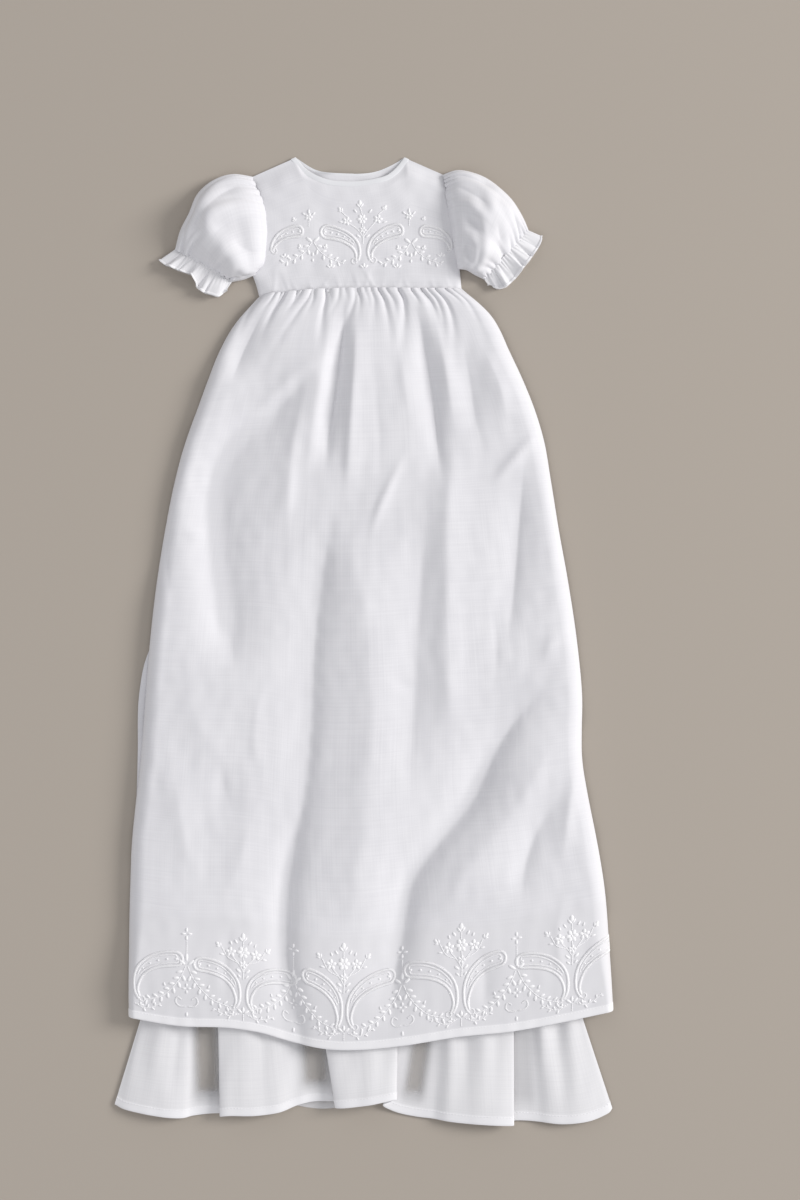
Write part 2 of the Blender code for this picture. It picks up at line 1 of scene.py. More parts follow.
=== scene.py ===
# %% [markdown]
# # A baby's christening gown, laid flat
#
# The gown lies on its back on a table. It is cut from fine white cotton lawn: a small bodice, two
# puffed sleeves with frills, a long skirt gathered to a high waist, and an underskirt whose flounce
# shows below the skirt's hem. White thread makes the raised flowers and paisleys.
#
# Everything here is cloth, so the lesson is mostly about one idea: a panel is a grid of points, and
# a few short tables say where the grid goes. The same tables of sizes shape the solid part that
# this scene is built around; here the grid is fine enough for gathers, hems and creases.

import json
import math

import bmesh
import bpy
import numpy as np
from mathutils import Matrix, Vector
from mathutils.bvhtree import BVHTree

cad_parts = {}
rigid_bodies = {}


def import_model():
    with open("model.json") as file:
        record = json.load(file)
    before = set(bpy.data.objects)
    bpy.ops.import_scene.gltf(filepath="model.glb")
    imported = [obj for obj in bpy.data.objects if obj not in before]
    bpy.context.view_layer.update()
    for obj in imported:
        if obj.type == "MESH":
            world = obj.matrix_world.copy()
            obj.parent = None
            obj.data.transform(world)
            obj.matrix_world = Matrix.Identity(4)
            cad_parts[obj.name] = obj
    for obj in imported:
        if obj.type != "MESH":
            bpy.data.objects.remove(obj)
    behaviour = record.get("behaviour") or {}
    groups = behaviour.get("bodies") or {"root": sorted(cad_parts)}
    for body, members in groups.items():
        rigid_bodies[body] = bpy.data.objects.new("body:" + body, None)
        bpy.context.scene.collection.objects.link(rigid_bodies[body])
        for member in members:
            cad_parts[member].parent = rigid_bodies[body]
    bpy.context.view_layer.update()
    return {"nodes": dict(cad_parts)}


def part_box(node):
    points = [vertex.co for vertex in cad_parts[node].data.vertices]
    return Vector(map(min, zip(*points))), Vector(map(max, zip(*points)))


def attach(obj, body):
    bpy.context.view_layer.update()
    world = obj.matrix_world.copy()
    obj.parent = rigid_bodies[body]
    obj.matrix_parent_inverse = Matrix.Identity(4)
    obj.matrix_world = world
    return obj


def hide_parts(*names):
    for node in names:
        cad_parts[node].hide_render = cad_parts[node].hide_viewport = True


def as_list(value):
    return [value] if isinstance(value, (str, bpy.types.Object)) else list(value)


for startup in list(bpy.data.objects):
    bpy.data.objects.remove(startup)
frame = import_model()
print("nodes:", ", ".join(sorted(frame["nodes"])))

# %% [markdown]
# ## Sizes
#
# All sizes are millimetres in the gown's own frame: +X to the right, +Y towards the neck, +Z up,
# with the origin in the middle of the gown on the table. Rows are short and have named columns,
# because a dressmaker's measurements are also a short list.

# %% Levels and layers
MM = 0.001
CLOTH = 0.7             # thickness of one layer of lawn as it is drawn here
AIR = 0.4
LAYER = 1.4             # from one flat layer to the next
WAIST_Y = 351.0
FLOUNCE_SEAM_Y = -330.0
BACK_FLOUNCE_SEAM_Y = -262.0
UNDERSKIRT_HALF_HEM = 203.0
UNDERSKIRT_HALF_WAIST = 88.0
UNDERSKIRT_BACK_Z = LAYER
UNDERSKIRT_FRONT_Z = 2 * LAYER
SKIRT_FRONT_Z = 3 * LAYER
HEM_LIFT = 5.6          # the flounce under the skirt's hem lifts it this much more
HEM_WIDTH = 8.4
FLOUNCE_HEM_WIDTH = 8.5
BACK_HEM_Y = -368.0
WAIST_WIDTH = 201.0
SKIRT_LOFT = 10.0
FOLD_FADE = 70.0        # the longest stretch over which the end of a fold fades
BODICE_FRONT_Z = 4.9
BODICE_LOFT = 2.0
ARMHOLE_Z = 9.0
SEAM_EDGE_Z = 1.5
OPENING_LIFT = 2.0
BINDING_W = 5.6

# %% Outlines of the skirt
SIDE_ROWS = (
    # y, left x, right x
    (-400, -232, 250), (-370, -233, 249), (-300, -233, 245), (-250, -232, 241), (-200, -230, 233),
    (-160, -226, 225), (-125, -222, 219), (-50, -216, 218), (0, -212, 213), (60, -205, 204),
    (110, -197, 195), (160, -187, 187), (200, -176, 180), (230, -165, 171), (260, -154, 159),
    (290, -142, 145), (310, -131, 136), (330, -116, 123), (341, -105, 112), (350, -98, 98),
)
BACK_PEEK_ROWS = ((-200, -1.0), (-160, 2.0), (-110, 6.0), (-50, 9.0), (-20, 6.0), (4, -1.0))
HEM_ROWS = (
    # x, y
    (-233, -375), (-186, -383), (-126, -386), (-103, -390), (-70, -400), (-30, -407),
    (0, -407), (40, -403), (97, -394), (147, -389), (197, -380), (249, -369),
)
WAIST_ROWS = ((-103, 342), (-92, 346), (-73, 348), (-53, 350), (-30, 351), (98, 351))

# %% [markdown]
# ## Folds
#
# A soft fold is a line on the cloth that is higher or lower than its surroundings and fades at both
# ends. The large ones come first. The small creases after them are what makes cloth look handled:
# they are narrower, shorter and uneven. Negative heights are troughs.

# %% Folds of the skirt front
SKIRT_FOLDS = (
    # height, left spread, right spread, line
    (-8.0, 22, 12, ((-97, 332), (-118, 290), (-133, 252))),
    (4.0, 11, 8, ((-30, 282), (-58, 270), (-93, 240), (-130, 210))),
    (-12.5, 22, 30, ((-48, 268), (-80, 236), (-118, 206), (-143, 165), (-147, 120), (-143, 75), (-138, 35),
                     (-124, -45))),
    (3.5, 16, 8, ((-55, 260), (-68, 205), (-75, 130), (-78, 85))),
    (-8.5, 13, 5.5, ((-18, 347), (-21, 295), (-26, 250), (-33, 205), (-37, 160))),
    (4.0, 5, 11, ((-5, 335), (-8, 280), (-12, 220), (-17, 130))),
    (3.5, 13, 8, ((-28, 335), (-43, 255), (-58, 150))),
    (-7.2, 32, 13, ((-32, 122), (-39, 70), (-45, 20), (-49, -30), (-51, -80), (-55, -135), (-64, -195),
                    (-74, -240), (-77, -295), (-74, -345), (-66, -395), (-58, -450))),
    (-6.5, 11, 7, ((-62, -170), (-74, -240), (-77, -295), (-74, -345), (-66, -395), (-58, -440))),
    (6.0, 27, 36, ((-12, 105), (-3, 60), (5, 10), (9, -55), (8, -110), (3, -155), (-6, -230), (-12, -300))),
    (-4.2, 22, 16, ((64, 135), (58, 60), (53, -20), (50, -80), (46, -165))),
    (5.0, 15, 17, ((90, 200), (84, 120), (84, 50), (84, -20), (90, -110))),
    (-6.5, 14, 7, ((49, 347), (60, 300), (69, 250), (74, 205), (80, 145))),
    (4.0, 8, 12, ((68, 335), (80, 285), (87, 240), (91, 195))),
    (-3.5, 14, 11, ((98, 300), (107, 255), (113, 215), (126, 182))),
    (4.0, 14, 12, ((115, 300), (137, 250), (145, 208))),
    (3.8, 5, 6, ((176, 208), (152, 182), (125, 153))),
    (-5.5, 20, 11, ((160, 178), (156, 120), (152, 65), (146, 15), (140, -20))),
    (2.5, 8, 9, ((209, 8), (187, -3), (179, -27))),
    (-9.0, 34, 13, ((180, -48), (153, -80), (129, -118), (113, -155), (78, -200), (50, -240), (40, -282),
                    (33, -330), (25, -395))),
    (-4.5, 12, 8, ((150, -84), (129, -118), (108, -160), (78, -200), (50, -240), (42, -290),
                    (34, -345))),
    (6.5, 24, 26, ((205, -82), (185, -110), (160, -155), (128, -200), (95, -240), (73, -285))),
    (-5.0, 14, 9, ((194, -160), (174, -190), (163, -220), (157, -272))),
    (3.5, 10, 9, ((211, -128), (204, -175), (198, -225))),
    (1.6, 16, 14, ((-178, 0), (-168, -70), (-148, -110), (-122, -130))),
    (2.8, 16, 14, ((-198, -98), (-188, -140), (-178, -190), (-168, -260))),
    (-2.4, 15, 13, ((-146, -110), (-136, -150), (-125, -192))),
    (1.4, 10, 10, ((-98, -148), (-113, -185), (-128, -235), (-144, -258))),
    (-3.5, 14, 13, ((-192, 150), (-196, 90), (-190, 30))),
    (-3.0, 12, 12, ((116, -300), (122, -335), (118, -380))),
)
SKIRT_CREASES = (
    # height, left spread, right spread, line
    (2.6, 4, 5, ((42, 186), (27, 155), (14, 125), (6, 92))),
    (-1.0, 5, 5, ((12, 262), (17, 200), (15, 150))),
    (1.0, 5, 6, ((36, 300), (42, 250), (50, 205))),
    (-1.1, 6, 6, ((128, 40), (134, -10), (128, -60))),
    (1.2, 6, 6, ((-98, -40), (-108, -90), (-104, -135))),
    (-1.2, 6, 6, ((-128, -275), (-136, -320), (-134, -365))),
    (1.2, 7, 6, ((-182, 118), (-166, 104), (-148, 107))),
    (-1.2, 5, 5, ((24, -34), (46, -46), (70, -44))),
    (1.3, 6, 7, ((200, -250), (194, -300), (206, -350))),
)
GATHERS = 28            # small pleats drawn up along the waist
GATHER_SEED = 11

# %% [markdown]
# ## Reading a smooth line through a few rows
#
# Every outline in this file is a short list of points. `through` reads a smooth line through them,
# `path` walks such a line by its share of the length, and `filled` spans a panel between four
# lines, which is what a dressmaker's flat pattern piece is.

# %% Lines and panels
def through(stations, values, at):
    """Reads a smooth line through rows of (station, value) at one place or many."""
    stations = np.asarray(stations, float)
    values = np.asarray(values, float)
    slopes = np.gradient(values, stations, axis=0)
    i = np.clip(np.searchsorted(stations, at) - 1, 0, len(stations) - 2)
    step = stations[i + 1] - stations[i]
    t = (np.clip(at, stations[0], stations[-1]) - stations[i]) / step
    if values.ndim > 1:
        t, step = t[..., None], step[..., None]
    return (
        (2 * t**3 - 3 * t**2 + 1) * values[i]
        + (t**3 - 2 * t**2 + t) * step * slopes[i]
        + (3 * t**2 - 2 * t**3) * values[i + 1]
        + (t**3 - t**2) * step * slopes[i + 1]
    )


def column(rows, i):
    return [row[i] for row in rows]


def path(points):
    """A function that gives the point at a share of the way along a smooth line through points."""
    points = np.asarray(points, float)
    lengths = np.linalg.norm(np.diff(points, axis=0), axis=1)
    stations = np.concatenate([[0], np.cumsum(lengths)]) / lengths.sum()
    return lambda share: through(stations, points, np.asarray(share, float))


def chain(*stretches):
    """One line made of several stretches that meet in corners. Each is (share of the whole, line)."""
    ends = np.cumsum([share for share, _ in stretches])

    def at(share):
        share = np.asarray(share, float)
        out = np.zeros(share.shape + (2,))
        start = 0.0
        for (size, line), end in zip(stretches, ends):
            here = (share >= start - 1e-9) & (share <= end + 1e-9)
            out[here] = line(np.clip((share[here] - start) / size, 0, 1))
            start = end
        return out

    return at


def filled(bottom, top, left, right):
    """A flat panel between four outlines: (u, v) from its lower left corner to x, y."""

    def at(u, v):
        across = (1 - v)[..., None] * bottom(u) + v[..., None] * top(u)
        along = (1 - u)[..., None] * left(v) + u[..., None] * right(v)
        corners = (
            (1 - u, 1 - v, bottom(np.array(0.0))),
            (u, 1 - v, bottom(np.array(1.0))),
            (1 - u, v, top(np.array(0.0))),
            (u, v, top(np.array(1.0))),
        )
        return across + along - sum((a * b)[..., None] * corner for a, b, corner in corners)

    return at


def smoothstep(low, high, value):
    t = np.clip((value - low) / (high - low), 0, 1)
    return t * t * (3 - 2 * t)


def rolled(distance, radius):
    """0 at a panel's edge, rising to 1 over a rounded side."""
    t = np.clip(distance / radius, 0, 1)
    return np.sqrt(1 - (1 - t) ** 2)


# %% Folds, waves and gathers
# How round a fold is on its left and right: 2 is a soft swell, and 1 comes to an edge along the line
TROUGH_EDGES = (1.7, 1.15)
RIDGE_EDGES = (1.5, 1.5)


def fold(x, y, height, left, right, line):
    """The height that one soft fold adds at x, y: full along its line, fading at both ends."""
    samples = path(line)(np.linspace(0, 1, 25))
    reach = 3.2 * max(left, right)
    low, high = samples.min(axis=0) - reach, samples.max(axis=0) + reach
    near = (x > low[0]) & (x < high[0]) & (y > low[1]) & (y < high[1])
    px, py = x[near], y[near]
    best = np.full(px.shape, 1e9)
    side = np.zeros(px.shape)
    share = np.zeros(px.shape)
    for i, (a, run) in enumerate(zip(samples[:-1], np.diff(samples, axis=0))):
        dx, dy = px - a[0], py - a[1]
        t = np.clip((dx * run[0] + dy * run[1]) / (run @ run), 0, 1)
        far = np.hypot(dx - t * run[0], dy - t * run[1])
        nearer = far < best
        turn = (run[0] * dy - run[1] * dx) / (np.linalg.norm(run) * np.hypot(dx, dy) + 1e-9)
        best = np.where(nearer, far, best)
        side = np.where(nearer, turn, side)
        share = np.where(nearer, (i + t) / 24, share)
    rightness = smoothstep(-0.5, 0.5, side)
    edges = TROUGH_EDGES if height < 0 else RIDGE_EDGES
    spread = left + (right - left) * rightness
    power = edges[0] + (edges[1] - edges[0]) * rightness
    length = np.linalg.norm(np.diff(samples, axis=0), axis=1).sum()
    fade = min(FOLD_FADE, 0.45 * length)
    ends = smoothstep(-0.2 * fade, fade, share * length) * smoothstep(0.0, fade, (1 - share) * length)
    added = np.zeros(np.shape(x))
    added[near] = height * np.exp(-((best / spread) ** power)) * ends
    return added


def rumple(x, y, seed, shortest, longest, lean=0.35, waves=26):
    """Faint uneven waves that run mostly down the cloth, from about -1 to 1."""
    draw = np.random.default_rng(seed)
    total = np.zeros(np.shape(x))
    for _ in range(waves):
        length = shortest * (longest / shortest) ** draw.random()
        angle = draw.normal(0, lean)
        phase = draw.random() * 2 * math.pi
        total += np.sin(2 * math.pi * (x * math.cos(angle) + y * math.sin(angle)) / length + phase)
    return total / math.sqrt(waves)


def gathers(share, width, down, count, seed, depth, reach):
    """Small pleats drawn up on a thread. share and width place them; down is the way from the thread."""
    draw = np.random.default_rng(seed)
    down = np.maximum(down, 0)
    total = np.zeros(np.shape(share))
    for i in range(count):
        centre = (i + 0.5 + draw.uniform(-0.42, 0.42)) / count
        drift = draw.normal(0, 0.45 / count)
        deep = depth * draw.uniform(0.45, 1.2)
        far = reach * draw.choice((0.35, 0.6, 1.0, 1.9)) * draw.uniform(0.8, 1.2)
        spread = 1.5 + 0.07 * down
        fade = np.exp(-((down / far) ** 1.4))
        away = (share - centre - drift * down / reach) * width / spread
        total -= deep * fade * np.exp(-(away**2))
    return total


# %% [markdown]
# ## From a panel to a mesh
#
# Lawn is a single layer with two sides, so each panel becomes a closed thin shell: the grid, the
# same grid moved out along its normals by the thickness, and a rim. The thickness may vary, which
# is how a turned hem is drawn: three layers of cloth are thicker than one. The shell keeps a UV map
# in real metres along and across the cloth's own threads, so that the weave follows the pattern
# piece and bends with it.

# %% The shell maker
def grid_normals(points, closed_across):
    if closed_across:
        wrapped = np.concatenate([points[:, -2:-1], points, points[:, 1:2]], axis=1)
        across = (wrapped[:, 2:] - wrapped[:, :-2])
    else:
        across = np.gradient(points, axis=1)
    along = np.gradient(points, axis=0)
    normals = np.cross(across, along)
    return normals / np.maximum(np.linalg.norm(normals, axis=2, keepdims=True), 1e-9)


def in_scene(name, data):
    """A mesh, light or camera as an object of the scene, at the origin."""
    made = bpy.data.objects.new(name, data)
    bpy.context.scene.collection.objects.link(made)
    return made


def shell(name, u, v, points, wall, grain_size, tube=False, outward=1, cover=None):
    """A closed thin shell over a grid of points in millimetres.

    wall is its thickness, a number or one for each point, and grain_size is the size of its weave's
    map in metres."""
    rows, columns = points.shape[:2]
    wall = np.broadcast_to(np.asarray(wall, float), (rows, columns))
    normals = grid_normals(points, tube) * outward
    outer = points + normals * wall[..., None]
    kept = columns - 1 if tube else columns
    ids = np.arange(rows * kept).reshape(rows, kept)
    if tube:
        ids = np.concatenate([ids, ids[:, :1]], axis=1)
    below = ids + rows * kept
    quads = np.stack([ids[:-1, :-1], ids[:-1, 1:], ids[1:, 1:], ids[1:, :-1]], axis=-1).reshape(-1, 4)
    lower = np.stack([below[:-1, :-1], below[1:, :-1], below[1:, 1:], below[:-1, 1:]], axis=-1)
    faces = [quads, lower.reshape(-1, 4)]
    rims = [(ids[0], below[0], 1), (ids[-1], below[-1], -1)]
    if not tube:
        rims += [(ids[:, -1], below[:, -1], 1), (ids[:, 0], below[:, 0], -1)]
    for top, under, turn in rims:
        rim = np.stack([top[1:], top[:-1], under[:-1], under[1:]], axis=-1)
        faces.append(rim if turn > 0 else rim[:, ::-1])
    faces = np.concatenate(faces)
    if outward < 0:
        faces = faces[:, ::-1]
    corners = np.concatenate([outer[:, :kept].reshape(-1, 3), points[:, :kept].reshape(-1, 3)]) * MM
    mesh = bpy.data.meshes.new(name)
    mesh.from_pydata(corners.tolist(), [], faces.tolist())
    grain = np.stack([u * grain_size[0], v * grain_size[1]], axis=-1)[:, :kept].reshape(-1, 2)
    grain = np.concatenate([grain, grain])
    loops = np.empty(len(mesh.loops), np.int32)
    mesh.loops.foreach_get("vertex_index", loops)
    threads = mesh.uv_layers.new(name="grain")
    threads.uv.foreach_set("vector", grain[loops].astype(np.float32).reshape(-1))
    if cover is not None:
        share = mesh.attributes.new("cover", "FLOAT", "POINT")
        values = cover[:, :kept].reshape(-1)
        share.data.foreach_set("value", np.concatenate([values, values]).astype(np.float32))
    mesh.shade_smooth()
    mesh.set_sharp_from_angle(angle=math.radians(55))
    print(f"{name}: {2 * len(faces)} triangles")
    return in_scene(name, mesh)


def grid(columns, rows):
    """Shares across and along a panel, from a number of steps or a list of stations each."""
    u = np.linspace(0, 1, columns + 1) if np.isscalar(columns) else np.asarray(columns)
    v = np.linspace(0, 1, rows + 1) if np.isscalar(rows) else np.asarray(rows)
    return np.meshgrid(u, v)


def hem_stations(length, rows, width=HEM_WIDTH):
    """Stations along a panel that begin with a turned hem: a crisp edge, then even steps."""
    edge = np.array([0.0, 0.4, 2.0, 4.5, width - 1.6, width - 0.5, width + 0.3, width + 1.8]) / length
    return np.concatenate([edge, np.linspace(edge[-1], 1, rows + 1)[1:]])


def hem_wall(v, length, extra, width=HEM_WIDTH):
    """Thickness where a hem is turned up twice at v = 0."""
    turned = 1 - smoothstep(width - 0.7, width + 0.5, v * length)
    rounded = rolled(v * length + 0.15, 0.9)
    return CLOTH * np.maximum(0.55, rounded) + extra * turned * rounded

# %% [markdown]
# ## The skirt
#
# The skirt front carries most of what the eye sees. Its outline spans hem, waist and two sides; its
# height adds a mean loft, the large folds, the small creases and the gathers. Cloth that lies on
# other cloth can't sink into it, so a soft lower limit flattens every trough where it would touch.
# Its two sides roll down to the skirt back, which lies flat underneath.

# %% Skirt front
def side_x(y, edge):
    rows = sorted(SIDE_ROWS)
    return through(column(rows, 0), column(rows, edge), y)


def skirt_side(edge, low_y, high_y):
    ys = np.linspace(low_y, high_y, 24)
    return path(np.stack([side_x(ys, edge), ys], axis=1))


def crowded(u):
    """Shares across a panel, closer together near its two edges."""
    return u - 0.55 * np.sin(2 * math.pi * u) / (2 * math.pi)


def skirt_front(u, v):
    left = skirt_side(1, HEM_ROWS[0][1], WAIST_ROWS[0][1])
    right = skirt_side(2, HEM_ROWS[-1][1], WAIST_ROWS[-1][1])
    xy = filled(path(HEM_ROWS), path(WAIST_ROWS), left, right)(crowded(u), v)
    x, y = xy[..., 0], xy[..., 1] - AIR
    west, east = side_x(y, 1), side_x(y, 2)
    down = np.maximum(path(WAIST_ROWS)(crowded(u))[..., 1] - xy[..., 1], 0)
    z = np.full(np.shape(x), SKIRT_LOFT)
    for row in SKIRT_FOLDS + SKIRT_CREASES:
        z += fold(x, y, *row)
    patchy = 0.5 + 0.5 * np.tanh(rumple(x, y, 5, 120, 300, lean=1.0, waves=8))
    z += 0.36 * patchy * rumple(x, y, 3, 38, 75) + 0.13 * rumple(x, y, 9, 15, 22, lean=0.7)
    reach = smoothstep(80, 0, down)
    z *= 1 - 0.45 * reach
    z += gathers((x - west) / (east - west), east - west, down, GATHERS, GATHER_SEED, 3.7, 26)
    z += 1.6 * reach - 2.6 * np.exp(-((down / 2.6) ** 2))
    up = y - path(HEM_ROWS)(crowded(u))[..., 1]
    z -= 3.4 * smoothstep(60, -5, up)
    z *= 0.75 + 0.25 * smoothstep(-5, 75, up)
    z = np.log1p(np.exp(z * 1.25)) / 1.25
    lift = HEM_LIFT * smoothstep(FLOUNCE_SEAM_Y + 60, FLOUNCE_SEAM_Y - 30, y)
    near = np.minimum(x - west, east - x)
    edge = SEAM_EDGE_Z + 3.2 * smoothstep(FLOUNCE_SEAM_Y + 20, FLOUNCE_SEAM_Y - 35, y)
    radius = 15 - 9 * smoothstep(-270, -370, y)
    height = edge + (SKIRT_FRONT_Z + lift + z - edge) * rolled(near + 0.01, radius)
    return np.stack([x, y, height], axis=-1)


SKIRT_LENGTH = 745.0
SKIRT_GRAIN = (0.56, 0.77)      # size of both skirt panels' weave map, in metres
u, v = grid(226, hem_stations(SKIRT_LENGTH, 186))
skirt_front_piece = shell(
    "skirt_front_cloth", u, v, skirt_front(u, v), hem_wall(v, SKIRT_LENGTH, 0.35), SKIRT_GRAIN
)

# %% Skirt back and underskirt
def skirt_back(u, v):
    y = BACK_HEM_Y + (WAIST_Y - 3 - BACK_HEM_Y) * v
    peek = through(column(BACK_PEEK_ROWS, 0), column(BACK_PEEK_ROWS, 1), y)
    left = side_x(y, 1) + 1.5 - np.maximum(peek, 0)
    right = side_x(y, 2) - 1.5
    x = left + (right - left) * u
    inside = rolled(np.minimum(x - left, right - x) + 0.2, 14)
    z = 0.22 * (1 + rumple(x, y, 21, 22, 70)) * inside
    lifted = 1.2 * smoothstep(10, 2, x - left) * smoothstep(-1, 4, peek)
    return np.stack([x, y - 6.0 * smoothstep(0.5, 0, u) * v, np.maximum(z, 0) + lifted], axis=-1)


def underskirt(level, low_y):
    def at(u, v):
        half = UNDERSKIRT_HALF_HEM - (UNDERSKIRT_HALF_HEM - UNDERSKIRT_HALF_WAIST) * v
        x = half * (2 * u - 1)
        y = low_y + AIR + (WAIST_Y - 9 - low_y) * v
        return np.stack([x, y, level + 0.12 * (1 + rumple(x, y, 31, 24, 70, waves=6)).clip(0, 2)], axis=-1)

    return at


u, v = grid(90, hem_stations(SKIRT_LENGTH, 90))
skirt_back_piece = shell(
    "skirt_back_cloth", u, v, skirt_back(u, v), hem_wall(v, SKIRT_LENGTH, 0.2) * 0.7, SKIRT_GRAIN
)
u, v = grid(50, 60)
for half, level, seam_y, length in (
    ("front", UNDERSKIRT_FRONT_Z, FLOUNCE_SEAM_Y, 0.68),
    ("back", UNDERSKIRT_BACK_Z, BACK_FLOUNCE_SEAM_Y, 0.62),
):
    shell(f"underskirt_{half}_cloth", u, v, underskirt(level, seam_y)(u, v), 0.6, (0.50, length))

# %% [markdown]
# ## The flounce
#
# A flounce is longer at its hem than at its seam, so it lies in flutes that fold over each other.
# A height above the table can't describe that, because one spot may be covered three times. The
# section is instead one line that winds left and right, a row for each point. Where it lies single
# over the table the lawn looks thin, and the `cover` attribute carries that to its material.

# %% Flounce sections
FLOUNCE_FOLDS = (
    # x at the hem, x at the top, height, y of the hem
    (-248, -226, 1.6, -464), (-236, -219, 5.0, -469), (-205, -195, 8.5, -475), (-182, -178, 7.0, -477),
    (-169, -168, 2.0, -475), (-150, -152, 1.4, -473), (-130, -134, 1.4, -473), (-124, -128, 3.4, -473),
    (-132, -134, 6.0, -474), (-142, -144, 8.4, -475), (-132, -136, 10.6, -474), (-108, -112, 11.0, -474),
    (-84, -92, 9.0, -471), (-64, -72, 4.0, -464), (-48, -58, 1.6, -461), (-28, -44, 1.4, -461),
    (-10, -24, 1.4, -462), (-4, -18, 3.8, -463), (-14, -26, 7.0, -464), (-27, -39, 9.6, -466),
    (-18, -30, 12.6, -466), (6, 0, 14.0, -463), (26, 25, 13.0, -459), (33, 34, 10.2, -458),
    (26, 30, 7.2, -461), (20, 36, 4.2, -465), (34, 50, 1.8, -472), (52, 60, 1.4, -476),
    (70, 70, 3.0, -478), (92, 88, 8.0, -481), (120, 114, 11.0, -483), (142, 138, 10.4, -484),
    (150, 150, 7.8, -484), (140, 141, 4.6, -482), (142, 142, 1.8, -481), (158, 156, 1.4, -480),
    (176, 168, 3.0, -481), (200, 186, 7.0, -483), (226, 206, 6.4, -480), (244, 220, 3.6, -473),
    (249, 224, 1.6, -468),
)
# Small flutes that start under the skirt's hem and fade downwards
FLOUNCE_FLUTES = (
    # x at the top, x at the hem, height, spread
    (-199, -214, 1.6, 7), (-183, -196, -1.8, 6), (-118, -122, 1.2, 8), (-100, -98, -1.3, 7),
    (8, 6, 1.0, 9), (88, 84, 1.4, 7), (104, 104, -1.4, 7), (122, 124, 1.2, 8), (178, 184, 2.4, 7),
    (193, 202, -2.2, 7), (206, 216, 1.4, 7),
)

# Valleys between the flutes, where a single sheer layer lies right on the table
FLOUNCE_VALLEYS = (
    # x at the top, x at the hem, how much of the table shows, half width
    (-157, -154, 1.0, 14), (-49, -46, 0.95, 15), (59, 47, 0.9, 11), (155, 160, 0.3, 13),
)


def flounce_front(u, v):
    """v is 0 at the flounce's hem and 1 at its seam, under the skirt."""
    rows = np.array(FLOUNCE_FOLDS, float)
    section = through(np.linspace(0, 1, len(rows)), rows, u)
    x_hem, x_top, z, y_hem = (section[..., i] for i in range(4))
    seam_y = FLOUNCE_SEAM_Y - AIR
    y = y_hem + (seam_y - y_hem) * v
    top_y = through(column(HEM_ROWS, 0), column(HEM_ROWS, 1), x_top)
    shown = (top_y + 3 - y_hem) / (seam_y - y_hem)
    x = x_hem + (x_top - x_hem) * np.minimum(v * (seam_y - y_hem) / (-392 - y_hem), 1.3)
    spread = smoothstep(shown, np.minimum(shown + 0.22, 0.95), v)
    x = x + (UNDERSKIRT_HALF_HEM * (2 * u - 1) - x) * spread
    low = np.minimum(z, 1.4)
    tall = (z - low) * (1 - 0.42 * smoothstep(0, shown, v)) * (1 - 0.75 * smoothstep(shown + 0.12, 0.9, v))
    climb = smoothstep(0.45, 0.72, v)
    height = low * (1 - climb) + tall + UNDERSKIRT_FRONT_Z * climb
    lies_over = smoothstep(0.4, 2.5, tall) * (1 - spread)
    flutes = np.zeros(np.shape(x))
    along = np.clip(v / shown, 0, 1)
    for x_high, x_low, tallness, width in FLOUNCE_FLUTES:
        line = x_low + (x_high - x_low) * along
        flutes += 1.35 * tallness * np.exp(-(((x - line) / width) ** 2)) * (0.15 + 0.85 * along**1.5)
    height += (flutes + 0.3 * rumple(x, y, 41, 14, 40, lean=0.2)) * lies_over
    window = np.zeros(np.shape(x))
    for x_high, x_low, share, width in FLOUNCE_VALLEYS:
        line = x_low + (x_high - x_low) * along
        window = np.maximum(window, share * np.exp(-(((x - line) / width) ** 4)))
    sheer = window * smoothstep(7.5, 1.3, z) * smoothstep(0.05, 0.19, v)
    return np.stack([x, y, height], axis=-1), 1 - sheer


def flounce_back(u, v):
    half = np.interp(v, (0.0, 0.34, 0.6, 1.0), (236.0, 217.0, 206.0, 203.0))
    x = half * (2 * u - 1)
    hem_y = -460 - 8.5 * np.exp(-(((x + 40) / 38) ** 2))
    y = hem_y + (BACK_FLOUNCE_SEAM_Y - AIR - hem_y) * v
    z = 0.05 + UNDERSKIRT_BACK_Z * smoothstep(-392, -376, y)
    return np.stack([x, y, z], axis=-1), 0.8 * smoothstep(0.07, 0.0, v)


FLOUNCE_LENGTH = 140.0
FLOUNCES = (
    # name, form, steps across and along, length, extra wall of the hem, share of a full wall, grain
    ("front", flounce_front, 430, 42, FLOUNCE_LENGTH, 0.35, 0.8, (0.68, 0.16)),
    ("back", flounce_back, 120, 40, 200.0, 0.2, 0.7, (0.52, 0.21)),
)
for half, form, across, along, length, extra, thin, grain_size in FLOUNCES:
    u, v = grid(across, hem_stations(length, along, FLOUNCE_HEM_WIDTH))
    points, cover = form(u, v)
    wall = hem_wall(v, length, extra, FLOUNCE_HEM_WIDTH) * thin
    shell(f"flounce_{half}_cloth", u, v, points, wall, grain_size, cover=cover)

# %% [markdown]
# ## The bodice
#
# The bodice front is one panel between the waist, two side seams with the armholes, and the
# shoulders with the neckline. The back is cut in two halves that lap at a centre opening with three
# small buttons. The neck is finished with a folded strip that runs from one edge of the opening
# round to the other.

